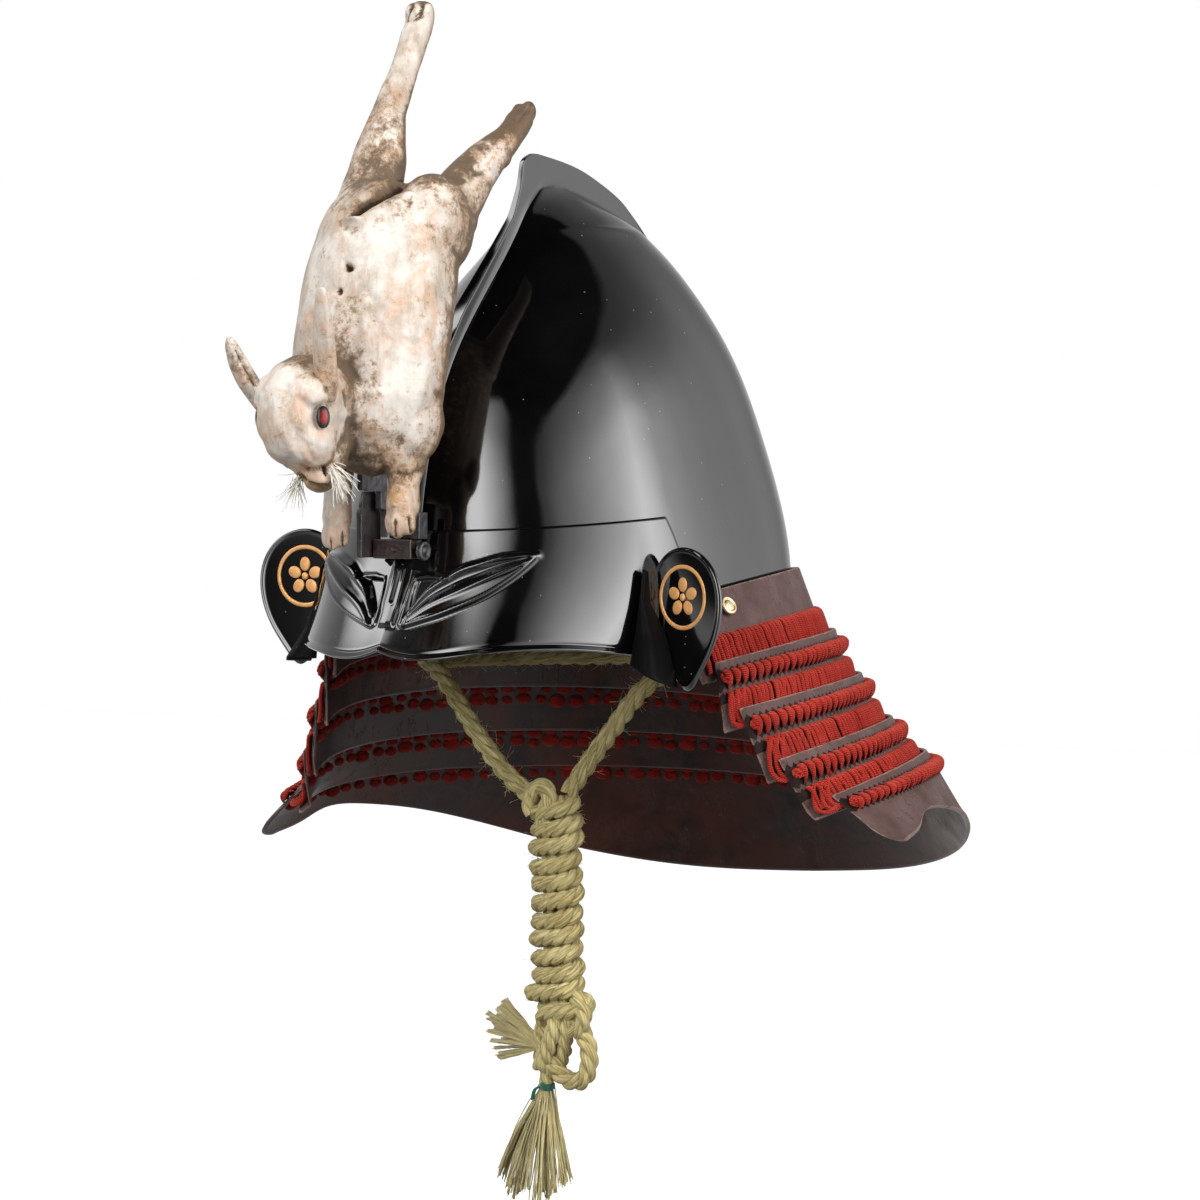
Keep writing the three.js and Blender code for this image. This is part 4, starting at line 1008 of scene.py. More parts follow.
def blob_tree():
    """Sets a flattened, slightly uneven drop at each guide point, turned to its facing and across."""
    tree, start, end = new_tree("set a drop at each point", [("Half Long", "NodeSocketFloat", 0.002),
        ("Half Wide", "NodeSocketFloat", 0.002), ("Half Deep", "NodeSocketFloat", 0.001),
        ("Unevenness", "NodeSocketFloat", 0.12), ("Seed", "NodeSocketInt", 1),
        ("Detail", "NodeSocketInt", 10), ("Material", "NodeSocketMaterial", None)])
    around = add_node(tree, "ShaderNodeMath", {0: start.outputs["Detail"], 1: 1.6}, operation="MULTIPLY")
    drop = add_node(tree, "GeometryNodeMeshUVSphere", {"Segments": around.outputs[0],
        "Rings": start.outputs["Detail"], "Radius": 1.0})
    size = add_node(tree, "ShaderNodeCombineXYZ", {"X": start.outputs["Half Long"],
        "Y": start.outputs["Half Wide"], "Z": start.outputs["Half Deep"]})
    scaled = add_node(tree, "GeometryNodeTransform", {"Geometry": drop.outputs[0], "Scale": size.outputs[0]})
    facing = add_node(tree, "GeometryNodeInputNamedAttribute", {"Name": "facing"}, data_type="FLOAT_VECTOR")
    across = add_node(tree, "GeometryNodeInputNamedAttribute", {"Name": "across"}, data_type="FLOAT_VECTOR")
    up = add_node(tree, "FunctionNodeAlignRotationToVector", {"Vector": facing.outputs["Attribute"]},
        axis="Z")
    turned = add_node(tree, "FunctionNodeAlignRotationToVector",
        {"Rotation": up.outputs[0], "Vector": across.outputs["Attribute"]}, axis="X", pivot_axis="Z")
    low = add_node(tree, "ShaderNodeMath", {0: 1.0, 1: start.outputs["Unevenness"]}, operation="SUBTRACT")
    high = add_node(tree, "ShaderNodeMath", {0: 1.0, 1: start.outputs["Unevenness"]}, operation="ADD")
    vary = add_node(tree, "FunctionNodeRandomValue", {"Seed": start.outputs["Seed"]}, data_type="FLOAT")
    tree.links.new(low.outputs[0], vary.inputs[2])
    tree.links.new(high.outputs[0], vary.inputs[3])
    put = add_node(tree, "GeometryNodeInstanceOnPoints", {"Points": start.outputs["Geometry"],
        "Instance": scaled.outputs[0], "Rotation": turned.outputs[0], "Scale": vary.outputs[1]})
    solid = add_node(tree, "GeometryNodeRealizeInstances", {"Geometry": put.outputs[0]})
    smooth = add_node(tree, "GeometryNodeSetShadeSmooth", {"Geometry": solid.outputs[0]})
    done = add_node(tree, "GeometryNodeSetMaterial", {"Geometry": smooth.outputs[0],
        "Material": start.outputs["Material"]})
    tree.links.new(done.outputs[0], end.inputs["Geometry"])
    return tree


DROPS = blob_tree()


def drops(name, points, facing, across, long, wide, deep, material, uneven=0.12, seed=1, detail=10):
    guide = make_piece(name + "_guide", points, [])
    put_attribute(guide, "facing", facing, "FLOAT_VECTOR")
    put_attribute(guide, "across", across, "FLOAT_VECTOR")
    values = {"Half Long": long * MM, "Half Wide": wide * MM, "Half Deep": deep * MM, "Unevenness": uneven,
        "Seed": seed, "Detail": detail}
    return run_tree(name, guide, DROPS, values, material)


def make_turn_back(side):
    name = "left" if side > 0 else "right"
    body = join(f"turn_back_{name}_lacquered", make_face(side), make_fold(side))
    place(body, "lacquer", f"turn_back_{name}")
    front = FACE_THICK - 0.55
    turn = np.linspace(0, 2 * np.pi, 121)
    ring = face_place(side, RING_RADIUS * np.cos(turn), RING_RADIUS * np.sin(turn), front)
    forward = unit(face_place(side, 0, 0, 5) - face_place(side, 0, 0, 0))
    facing = [np.tile(forward, (len(ring), 1))]
    gilt_ring = swept(f"turn_back_{name}_ring", [ring], RING_WIDTH, 0.45, GILT_PAINT, 12, facing)
    place(gilt_ring, "gilt")
    angles = np.pi / 2 + np.arange(PETALS) * 2 * np.pi / PETALS
    petals = face_place(side, PETAL_OFF * np.cos(angles), PETAL_OFF * np.sin(angles), front)
    outward = unit(petals - face_place(side, 0, 0, front))
    points = np.concatenate([petals, [face_place(side, 0, 0, front)]])
    across = np.concatenate([outward, [outward[0]]])
    flower = drops(f"turn_back_{name}_flower", points[:-1], np.tile(forward, (PETALS, 1)), across[:-1],
        PETAL_LONG, PETAL_WIDE, 0.55, GILT_PAINT, 0.03, 2, 16)
    heart = drops(f"turn_back_{name}_flower_heart", points[-1:], forward[None], across[-1:], 1.7, 1.7, 0.8,
        GILT_PAINT, 0.0, 3, 14)
    place(join(f"turn_back_{name}_rosette", flower, heart), "gilt")


for side in (1, -1):
    make_turn_back(side)


# Neck guard: five lames, by the CAD's own formulas
LAMES = table("size z top_reach low_reach pull front_drop", (111, 43, 112, 110, 0, 12),
    (128, 14, 107.7, 108, 8.5, 13), (140, -7, 106, 103.6, 14, 14), (154, -28, 102, 99.5, 16, 20),
    (170, -45, 96, 91, 20, 28), (188, -76, 92, 92, 1, 16))
LAST_EDGE = table("turn z", (0, -111), (20, -108), (32, -102), (42, -94), (52, -84), (63, -75), (73, -71),
    (81, -72), (87, -79), (92, -84))
PLAN_SIDE, PLAN_BACK, CREST_AT, BACK_DROP, PULL_FROM, TUCK, LEAN = -7, 12, 55, 7, 72, 6, 0.035
LAME_WALL, CURTAIN_THICK, STRIP, BINDING_HIGH, LOWER_STRIP, TOP_LEATHER = 2.0, 2.4, 4.5, 8, 2.5, 21
last_edge = column(LAST_EDGE, "turn", "z")


def lame_slope(index):
    run = LAMES[index + 1]["size"] - LAMES[index]["size"]
    fall = LAMES[index]["z"] - LAMES[index + 1]["z"]
    length = math.hypot(run, fall)
    return run / length, fall / length, length


def guard_value(name, spot):
    return np.interp(spot, range(len(LAMES)), [row[name] for row in LAMES])


def arch_drop(turn, front_drop):
    away = (np.abs(turn) - CREST_AT) / CREST_AT
    return np.where(away < 0, BACK_DROP, front_drop) * away * away


def lame_point(index, turn, down, out=0.0):
    """A point on a lame: turn in degrees from the back, down its slope, and out from its face."""
    turn, down, out = np.broadcast_arrays(np.asarray(turn, float), down, out)
    run, fall, length = lame_slope(index)
    last = index == 4
    under = 0 if last else LAME_WALL + CURTAIN_THICK + LAY_GAP * 2
    off = out - under * np.minimum(down / length, 1.2)
    size = LAMES[index]["size"] + down * run + off * fall
    z = LAMES[index]["z"] - down * fall + off * run
    spot = index + down / length
    if not last:
        spot = np.where(down > length, index + 1 + (down - length) / lame_slope(index + 1)[2], spot)
    ends = np.maximum((np.abs(turn) - PULL_FROM) / (guard_value("top_reach", spot) - PULL_FROM), 0)
    pull = guard_value("pull", spot) * ends * ends
    x = (size + PLAN_SIDE) * np.sin(np.radians(turn)) - np.sign(turn) * 0.58 * pull
    y = (size + PLAN_BACK) * np.cos(np.radians(turn)) + 0.81 * pull
    return np.stack([x, y, z - arch_drop(turn, guard_value("front_drop", spot)) + LEAN * x * spot / 5], -1)


def lame_reach(index, down):
    row = LAMES[index]
    return lerp(row["top_reach"], row["low_reach"], down / lame_slope(index)[2])


def last_depth(turn):
    top = LAMES[4]
    front_drop = lerp(top["front_drop"], LAMES[5]["front_drop"], 0.7)
    return (top["z"] - arch_drop(turn, front_drop) - last_edge(np.abs(turn))) / lame_slope(4)[1]


def lame_facing(index, turn, down):
    return unit(lame_point(index, turn, down, 5.0) - lame_point(index, turn, down, 0.0))


def row_turns(index, down, pitch, inset, seed, gaps=0.0):
    """Turns of a row of laces along a lame, evenly spaced with now and then a wider gap."""
    pick = np.random.default_rng(seed)
    reach = lame_reach(index, down) - inset
    fine = np.linspace(-reach, reach, 900)
    length = run_along(lame_point(index, fine, down))
    at, places, run = pitch * 0.5, [], 0
    while at < length[-1] - pitch * 0.4:
        places.append(at)
        run += 1
        at += pitch * pick.uniform(0.93, 1.07)
        if gaps and run > pick.integers(5, 10):
            at += gaps * pick.uniform(0.4, 1.3)
            run = 0
    return np.interp(places, length, fine)


# Leather outside, dark worn lacquer inside with painted sheen, and the dark teeth of the lacing holes along the
# strips, painted shade for the holes
def lame_material(index):
    material, tree, shader, where = new_material(f"lame_{index + 1}", Specular_IOR_Level=0.17)
    grain = use(tree, GRAIN, {"Vector": where, "Scale": 1500.0, "Crease": 0.7})
    plan = add_node(tree, "ShaderNodeSeparateXYZ", {"Vector": attribute(tree, "plan", "Vector")})
    arc, down, outside = plan.outputs["X"], plan.outputs["Y"], plan.outputs["Z"]
    edge = attribute(tree, "edge")
    leather = mix(tree, ramp(tree, grain["Blotch"], [(0.3, 0.0), (0.72, 1.0)]), (0.064, 0.037, 0.033),
        (0.125, 0.078, 0.072))
    scuffed = use(tree, WEAR, {"Vector": where, "Edge": edge, "Scale": 130.0, "Amount": 0.3})
    leather = mix(tree, maths(tree, "MULTIPLY", scuffed["Mask"], 0.8), leather, (0.25, 0.17, 0.14))
    crack = noise_of(tree, add_node(tree, "ShaderNodeCombineXYZ",
        {"X": maths(tree, "MULTIPLY", arc, 3.0), "Y": down}).outputs[0], 42.0, 4, 0.7)
    cracked = ramp(tree, maths(tree, "ABSOLUTE", maths(tree, "SUBTRACT", crack, 0.5)),
        [(0.0, 1.0), (0.012, 0.0)])
    cracked = maths(tree, "MULTIPLY", cracked, ramp(tree, grain["Blotch"], [(0.5, 0.0), (0.6, 0.8)]))
    leather = mix(tree, cracked, leather, (0.03, 0.014, 0.012))
    teeth = None
    rows = [(TOP_LEATHER, -1, 2.4)] if index == 0 else [(STRIP, -1, 3.4), (STRIP + BINDING_HIGH, 1, 3.4),
        (STRIP + BINDING_HIGH + LOWER_STRIP, -1, 2.4)]
    for at, way, pitch in rows[: 2 if index == 4 else 3]:
        wave = maths(tree, "PINGPONG", arc, pitch * 0.5 * MM)
        depth = maths(tree, "MULTIPLY", maths(tree, "SUBTRACT", down, at * MM), float(way))
        level = maths(tree, "MULTIPLY_ADD", wave, 1.1, -0.3 * pitch * 0.5 * MM)
        tooth = maths(tree, "LESS_THAN", depth, level)
        near = maths(tree, "GREATER_THAN", depth, -4 * MM)
        tooth = maths(tree, "MULTIPLY", tooth, near)
        teeth = tooth if teeth is None else maths(tree, "MAXIMUM", teeth, tooth)
    # Painted shade: the dark teeth stand for the shade inside the lacing holes.
    leather = mix(tree, teeth, leather, (0.012, 0.006, 0.005))
    mottle = noise_of(tree, where, 14.0, 5, 0.6)
    # Painted sheen: lighter grey-brown patches on the inner lacquer stand for soft reflections; the same noise
    # varies the roughness.
    painted_sheen = noise_of(tree, where, 60.0, 6, 0.65, 0.5)
    lacquer = mix(tree, ramp(tree, painted_sheen, [(0.35, 0.0), (0.7, 1.0)]), (0.0085, 0.0046, 0.004),
        (0.052, 0.028, 0.0245))
    lacquer = mix(tree, ramp(tree, mottle, [(0.45, 0.0), (0.62, 0.9)]), lacquer, (0.066, 0.0195, 0.011))
    lacquer = mix(tree, maths(tree, "MULTIPLY", edge, 0.75), lacquer, (0.2, 0.17, 0.165))
    rough = mix(tree, outside, ramp(tree, painted_sheen, [(0.3, 0.3), (0.7, 0.5)]),
        ramp(tree, grain["Blotch"], [(0.3, 0.62), (0.7, 0.48)]))
    coat(tree, shader, mix(tree, outside, lacquer, leather), rough)
    height = maths(tree, "SUBTRACT", grain["Height"], maths(tree, "MULTIPLY", teeth, 4.0))
    height = maths(tree, "MULTIPLY", height, maths(tree, "MULTIPLY_ADD", outside, 0.85, 0.15))
    bump(tree, shader, maths(tree, "SUBTRACT", height, maths(tree, "MULTIPLY", cracked, 2.0)), 0.00022, 0.7)
    return material


def make_lame(index):
    _, _, length = lame_slope(index)
    wide, high = 300, 30
    part, v = np.meshgrid(np.linspace(-1, 1, wide), np.linspace(0, 1, high), indexing="ij")
    v = 0.5 - 0.5 * np.cos(np.pi * v) * (0.7 + 0.3 * np.abs(np.cos(np.pi * v)))
    part = np.sign(part) * (np.abs(part) - 0.012 * np.sin(np.pi * np.abs(part)))
    if index == 4:
        first = last_depth(part * LAMES[4]["top_reach"])
        down = v * first
        corner = np.clip((down - (first - 13)) / 13, 0, 1)
    else:
        down = v * (length + TUCK)
    turn = part * lame_reach(index, down)
    size = LAMES[index]["size"]
    if index == 4:
        rounded = np.degrees(13 / size) * (1 - np.sqrt(1 - corner ** 2)) * smooth_step(0.82, 1.0,
            np.abs(part))
        turn = turn - np.sign(part) * rounded
    low_gap = (down[:, -1:] - down)
    side_gap = (1 - np.abs(part)) * np.radians(np.abs(LAMES[index]["top_reach"])) * size
    away = np.minimum(np.minimum(down, low_gap), side_gap)
    soft = 0.5 * LAME_WALL * (1 - np.sqrt(np.clip(1 - (1 - np.clip(away / 1.2, 0, 1)) ** 2, 0, 1)))
    bead = 0.35 * np.exp(-((low_gap - 1.0) / 0.7) ** 2) + 0.25 * np.exp(-((side_gap - 1.2) / 0.8) ** 2)
    warp = np.array([[noise.noise(Vector((t * 0.05, d * 0.04, index * 3.1))) for d in row] for t,
        row in zip(turn[:, 0], down)]) * 0.35 * np.clip(away / 6, 0, 1)
    outer = lame_point(index, turn, down, -soft + bead + warp)
    inner = lame_point(index, turn, down, -LAME_WALL + soft - bead * 0.5 + warp)
    arc = run_along(lame_point(index, turn[:, 0], 8.0))
    plan = np.stack([np.repeat(arc[:, None], high, 1) * MM, down * MM, np.ones_like(down)], -1)
    plan = np.concatenate([plan.reshape(-1, 3), plan.reshape(-1, 3) * [1, 1, 0]])
    edge = smooth_step(1.6, 0.4, away)
    piece = shell(f"lame_{index + 1}_leather", outer, inner, lame_material(index),
        {"edge": edge, "plan": plan})
    return place(piece, "leather", f"neck_lame_{index + 1}")


# Silk braid: red, a little faded on the crowns, with painted shade in the gaps
def silk_material():
    material, tree, shader, where = new_material("red_silk", Specular_IOR_Level=0.25, Sheen_Weight=0.35,
        Sheen_Roughness=0.4, Sheen_Tint=(1.0, 0.35, 0.25))
    lay = add_node(tree, "ShaderNodeSeparateXYZ", {"Vector": attribute(tree, "lay", "Vector")})
    lean = maths(tree, "ABSOLUTE", lay.outputs["Y"])
    chevron = maths(tree, "SINE", maths(tree, "MULTIPLY", maths(tree, "MULTIPLY_ADD", lean, 0.9,
        lay.outputs["Z"]), 6200.0))
    fibre = use(tree, FIBRE, {"Lay": attribute(tree, "lay", "Vector"), "Fineness": 5200.0})
    height = maths(tree, "ADD", maths(tree, "MULTIPLY", chevron, 0.5),
        maths(tree, "MULTIPLY", fibre["Height"], 0.9))
    patch = noise_of(tree, where, 46.0, 4, 0.6)
    base = mix(tree, ramp(tree, patch, [(0.35, 0.0), (0.7, 1.0)]), (0.40, 0.019, 0.013),
        (0.60, 0.042, 0.027))
    # Painted shade: the braid's low places between the chevrons are drawn dark.
    base = mix(tree, ramp(tree, height, [(0.15, 0.75), (0.6, 0.0)]), base, (0.12, 0.006, 0.005))
    base = mix(tree, ramp(tree, fibre["Streak"], [(0.5, 0.0), (0.8, 0.5)]), base, (0.64, 0.075, 0.05))
    coat(tree, shader, base, ramp(tree, fibre["Height"], [(0.3, 0.85), (0.8, 0.62)]))
    bump(tree, shader, height, 0.0005, 0.8)
    return material


SILK = silk_material()


def make_lacing(index):
    """The row of narrow braids that hang from one lame to the next."""
    pick = np.random.default_rng(100 + index)
    _, _, length = lame_slope(index)
    start = TOP_LEATHER if index == 0 else STRIP + BINDING_HIGH + LOWER_STRIP
    lines, facings, swell = [], [], []
    downs = np.array([start - 1.0, start - 0.1, start + 1.4, start + 4, (start + length) / 2, length - 0.5,
        length + 3.2])
    outs = np.array([-0.4, 1.0, 2.15, 2.5, 2.5, 2.4, 1.9])
    for turn in row_turns(index, start, 2.35, 0.8, 31 + index, 1.3):
        lean, proud = pick.normal(0, 0.16), pick.normal(0, 0.16)
        sway = lean * np.linspace(0, 1, 7) + pick.normal(0, 0.05, 7)
        reach = lame_reach(index, start) - 0.6
        at = np.clip((turn + sway) * lame_reach(index, downs) / lame_reach(index, start), -reach, reach)
        bow = proud * np.sin(np.linspace(0, np.pi, 7))
        line = lame_point(index, at, downs, outs + bow)
        fine = smooth_line(line, 11)
        lines.append(fine)
        facings.append(np.tile(lame_facing(index, turn, length / 2), (11, 1)))
        swell.append(pick.uniform(0.92, 1.1) * np.interp(np.linspace(0, 1, 11), [0, 0.12, 0.3, 1],
            [0.75, 0.95, 1, 1]))
    piece = swept(f"lacing_{index + 1}_braids", lines, 1.2, 1.0, SILK, 8, facings, swell)
    return place(piece, "silk", f"lacing_{index + 1}")


def make_binding(index):
    """The row of chunky loops bound through a lame's holes."""
    pick = np.random.default_rng(200 + index)
    lines, facings, swell = [], [], []
    t = np.linspace(0, 1, 11)
    for turn in row_turns(index, STRIP + 4, 4.3, 0.7, 41 + index):
        low = STRIP + 0.2 + pick.uniform(-0.3, 0.3)
        downs = lerp(low, STRIP + BINDING_HIGH - 0.1 + pick.uniform(-0.3, 0.4), t)
        outs = 0.2 + (2.7 + pick.normal(0, 0.15)) * np.sin(np.pi * t) ** 0.55
        slant = np.degrees((1.7 + pick.normal(0, 0.3)) / LAMES[index]["size"])
        lines.append(lame_point(index, turn + slant * (0.5 - t) * np.sign(turn), downs, outs))
        facings.append(np.tile(lame_facing(index, turn, STRIP + 4), (11, 1)))
        swell.append(pick.uniform(0.94, 1.08) * (0.45 + 0.6 * np.sin(np.pi * np.clip(t, 0.02, 0.98)) ** 0.7))
    piece = swept(f"binding_{index + 1}_loops", lines, 2.08, 1.5, SILK, 10, facings, swell)
    return place(piece, "silk", f"binding_{index + 1}")


def make_knots(index):
    """Silk knots on a lame's inner face, in pairs of rows."""
    points, facing, across = [], [], []
    for row, (down, inset) in enumerate(((10.6, 2.5), (15.4, 2.5))):
        turns = row_turns(index, down, 8.4, inset, 51 + index + row, 2.0)
        points.append(lame_point(index, turns, down + 0.7 * np.sin(turns * 3.3), -LAME_WALL - 0.35))
        facing.append(-lame_facing(index, turns, down))
        across.append(unit(lame_point(index, turns + 1, down) - lame_point(index, turns, down)))
    knots = []
    for row, (long, high, deep) in enumerate(((3.2, 2.0, 1.3), (3.4, 2.7, 1.9))):
        knots.append(drops(f"knots_{index}_{row}", points[row], facing[row], across[row], long, high, deep,
            KNOT_SILK, 0.3, 60 + index * 2 + row, 12))
    return place(join(f"lame_{index + 1}_knots", *knots), "silk")


def make_ends(index):
    """The round knot at each end of a bound row and the slack cords that hang there."""
    pick = np.random.default_rng(300 + index)
    lines, facings = [], []
    _, _, length = lame_slope(index)
    for side in (-1, 1):
        reach = lame_reach(index, STRIP + 4)
        at = side * (reach - 1.3)
        facing = lame_facing(index, at, STRIP + 4)
        centre = lame_point(index, at, STRIP + 4, 2.0)
        over = unit(lame_point(index, at + side, STRIP + 4) - lame_point(index, at, STRIP + 4))
        down = np.cross(facing, over)
        for radius, lift in ((1.9, 0.0), (0.8, 1.1)):
            turn = np.linspace(0, 2.15 * np.pi, 11)
            lines.append(centre + facing * lift + over * (radius * np.cos(turn))[:, None] + down
                * (radius * np.sin(turn))[:, None])
            facings.append(np.tile(facing, (11, 1)))
        if index == 4:
            continue
        start, reach = STRIP + BINDING_HIGH + LOWER_STRIP, lame_reach(index, length)
        for loose in range(3):
            slack = pick.uniform(0.2, 1.0)
            downs = start + np.array([0, 0.3, 0.62, 0.95, 1.12 + 0.2 * slack, 1.2 + 0.25 * slack, 1.0]) * (
                length - start + 3)
            turns = side * (reach - 1.6 - loose * 1.5 + np.array([-0.4, 0.4, 0.8, 0.9, 0.3, -1.6, -3.4])
                * (0.5 + slack))
            outs = np.array([2.2, 2.8, 3.0, 3.0, 3.4, 3.6, 2.8]) + pick.normal(0, 0.2)
            lines.append(smooth_line(lame_point(index, turns, downs, outs), 11))
            facings.append(np.tile(lame_facing(index, at, length / 2), (11, 1)))
    swell = [np.full(11, 1.0)] * len(lines)
    return place(swept(f"row_{index + 1}_ends", lines, 1.25, 1.0, SILK, 10, facings, swell), "silk")


def knot_material():
    material, tree, shader, where = new_material("knot_silk", Specular_IOR_Level=0.15, Sheen_Weight=0.2,
        Sheen_Tint=(1.0, 0.4, 0.3))
    weave = noise_of(tree, where, 1600.0, 3, 0.6)
    patch = noise_of(tree, where, 140.0, 4, 0.6)
    base = mix(tree, ramp(tree, patch, [(0.35, 0.0), (0.7, 1.0)]), (0.17, 0.008, 0.006),
        (0.36, 0.024, 0.016))
    # Painted shade: the low places of the weave are drawn dark.
    base = mix(tree, ramp(tree, weave, [(0.35, 0.6), (0.6, 0.0)]), base, (0.06, 0.004, 0.003))
    coat(tree, shader, base, ramp(tree, weave, [(0.3, 0.95), (0.8, 0.75)]))
    bump(tree, shader, weave, 0.0005, 0.8)
    return material


KNOT_SILK = knot_material()
for index in range(5):
    make_lame(index)
    if index:
        make_binding(index)
        make_knots(index)
        make_ends(index)
    if index < 4:
        make_lacing(index)


# Rivets through the top lame
def make_rivet(name, turn, down):
    profile = np.array([(0, 1.5), (1.6, 1.5), (2.3, 1.4), (2.6, 1.0), (2.9, 1.0), (3.2, 1.4), (3.8, 1.35),
        (4.3, 1.0), (4.5, 0.5), (4.45, 0)])
    seat = lame_point(0, turn, down, LAY_GAP + 0.3)
    off = lame_facing(0, turn, down)
    over = unit(np.cross(off, [0, 0, 1]))
    up = np.cross(over, off)
    around = np.linspace(0, 2 * np.pi, 48, endpoint=False)
    points = [seat + off * 2.0]
    for radius, high in profile[1:]:
        points += [seat + off * high + (over * math.cos(a) + up * math.sin(a)) * radius for a in around]
    points.append(seat)
    faces = [[0, 1 + i, 1 + (i + 1) % 48] for i in range(48)]
    for ring in range(len(profile) - 2):
        a = 1 + ring * 48
        faces += [[a + i, a + 48 + i, a + 48 + (i + 1) % 48, a + (i + 1) % 48] for i in range(48)]
    a = 1 + (len(profile) - 2) * 48
    faces += [[a + i, len(points) - 1, a + (i + 1) % 48] for i in range(48)]
    return place(make_outward(make_piece(f"rivet_{name}_dome", points, faces, GILT_METAL)), "gilt",
        f"rivet_{name}")


for name, turn, down in (("left", 99.5, 9), ("right", -99.5, 9), ("back", 3, 9)):
    make_rivet(name, turn, down)


# Hare: the CAD's rows filled out with muscle, remeshed as one skin, then carved
HARE_BODY = table("x y z wide deep", (0, -149, 86, 5, 5), (1, -149, 88.5, 15, 11), (1, -149, 93.5, 24, 18),
    (0, -149, 101, 30.5, 24.5), (0, -146, 118, 36, 29), (0, -141, 145, 37, 30),
    (-0.5, -133.5, 172, 36, 29.5), (-1.5, -125, 191, 34, 27), (-1, -118, 200, 29, 23.5),
    (0, -115, 205, 24, 18), (0, -113, 207.5, 13, 10))
HARE_HEAD = table("x y z wide deep", (0, -187, 137, 5, 6), (0, -187, 132, 14, 15), (0, -187, 122, 19.5, 23),
    (0, -187, 108, 19.5, 25), (2.2, -184.5, 96, 14, 19.5), (3.6, -184.5, 87, 9.4, 13),
    (4.8, -186, 81.5, 6.4, 7.6), (5.4, -187, 79.3, 3, 3.6))
HARE_NECK = table("x y z wide deep", (0, -140, 120, 20, 22), (0, -160, 118, 21, 20), (0, -182, 114, 15, 15))
FAR_HIND = table("x y z wide deep", (-22, -119, 196, 15, 16), (-22, -107, 226, 12.3, 12),
    (-22, -100, 246, 8, 7.4), (-22.2, -88.5, 266, 6.8, 5.8), (-21, -81, 283, 7.6, 5.6),
    (-20.5, -78, 292, 7, 4.8), (-20.5, -77, 297, 4, 3))
NEAR_HIND = table("x y z wide deep", (17, -119, 192, 15, 14), (19.3, -101, 211, 12, 11.5),
    (20, -83.4, 226, 9.4, 8.4), (22, -70, 236, 6.6, 5.8), (22.2, -62, 244, 6.9, 5.2),
    (22.4, -57, 249.5, 3.6, 2.6))
FAR_FORE = table("x y z wide deep", (-15, -146, 106, 11, 12), (-15.5, -146, 90, 7.5, 8),
    (-15.5, -146, 77, 5.6, 6), (-15, -147, 66, 6.8, 7), (-15, -147, 60.5, 5.4, 5.5),
    (-15, -147, 58.5, 2.5, 2.5))
NEAR_FORE = table("x y z wide deep", (19, -145, 108, 13, 14), (20, -144, 93, 10, 10.5),
    (20.5, -145, 81, 6.8, 7), (20.5, -146, 72, 7.6, 8), (20.5, -146, 66, 6.2, 6),
    (20.5, -146, 64, 2.5, 2.5))
# Muscles and knobs: centre and half sizes
MUSCLES = table("x y z across through high", (18.5, -122, 194, 17, 21, 23.5), (-23, -117, 190, 15, 18, 20),
    (25.5, -129, 177, 8, 13, 15), (21, -112, 200, 11.5, 13.5, 16), (27, -143, 109, 9, 13, 18),
    (-28, -143, 112, 9, 13, 15), (28.5, -136, 108, 5.5, 6.5, 9), (-29, -134, 104, 5.5, 6.5, 9),
    (11, -195, 100, 8.5, 10.5, 12), (-5, -192.5, 103, 7, 8.5, 10), (10.5, -199, 120, 8, 8, 9),
    (-10, -198, 120, 8, 8, 9), (7.8, -187.5, 85, 7.4, 7.4, 6.6), (11, -190, 83.5, 4.2, 4.4, 4),
    (4.8, -190, 83.5, 3.8, 4, 3.6), (-3, -108, 203, 9, 10, 7), (13, -107, 203, 12, 10, 9),
    (16.6, -148.5, 65, 3.2, 4.2, 6.4), (21, -150.5, 64, 3.1, 4.2, 6.8), (25.2, -148, 65, 3, 4, 6.2),
    (-19, -148.5, 58.5, 3.1, 4, 6.2), (-15, -150.5, 58, 3, 4, 6.6), (-11, -148, 59, 2.9, 3.8, 6),
    (19.6, -59, 246.5, 3.2, 4, 5), (24.8, -59, 247.5, 3.2, 4, 5), (-24.6, -79.5, 292, 3.2, 3.6, 5),
    (-20.4, -79.8, 293, 2.9, 3.6, 4.8), (-16.4, -79.5, 292, 3.1, 3.6, 5), (21.5, -78, 226, 7, 5, 5.5))
EAR_LEFT = table("x y z wide deep", (16.5, -193.5, 117, 3.6, 3), (17, -195, 123, 5.6, 3.6),
    (17.5, -197, 135, 6.1, 3), (18.5, -199.5, 148, 5.5, 2.5), (20, -201.8, 160, 3.7, 1.9),
    (20.8, -202.8, 165, 1.3, 0.9))
EAR_RIGHT = table("x y z wide deep", (-18, -190, 111, 3.4, 3.4), (-20.4, -194, 118, 4.8, 4),
    (-22.4, -200, 126, 5.2, 4.2), (-23.6, -205, 134, 4.8, 3.6), (-24, -209, 141, 3.2, 2.5),
    (-24.2, -210.5, 144.5, 1.3, 1))
EYE = {"x": 19.0, "y": -200.2, "z": 110, "across": 3.1, "through": 1.7, "high": 4.8}


def oval_limb(rows, sides=28, steps=34):
    """Points and faces of a closed limb through rows of half widths and depths."""
    line = smooth_line([(r["x"], r["y"], r["z"]) for r in rows], steps)
    spots = np.array([(r["x"], r["y"], r["z"]) for r in rows], float)
    at = run_along(spots)
    here = np.linspace(0, at[-1], steps)
    wide = np.interp(here, at, [r["wide"] for r in rows])
    deep = np.interp(here, at, [r["deep"] for r in rows])
    along = unit(np.gradient(line, axis=0))
    over = np.array([1.0, 0, 0]) - along * along[:, :1]
    over = unit(over)
    through = np.cross(along, over)
    turn = np.linspace(0, 2 * np.pi, sides, endpoint=False)
    rings = (line[:, None] + over[:, None] * (wide[:, None] * np.cos(turn))[..., None] + through[:, None]
        * (deep[:, None] * np.sin(turn))[..., None])
    return rings.reshape(-1, 3), tube_faces(steps, sides)


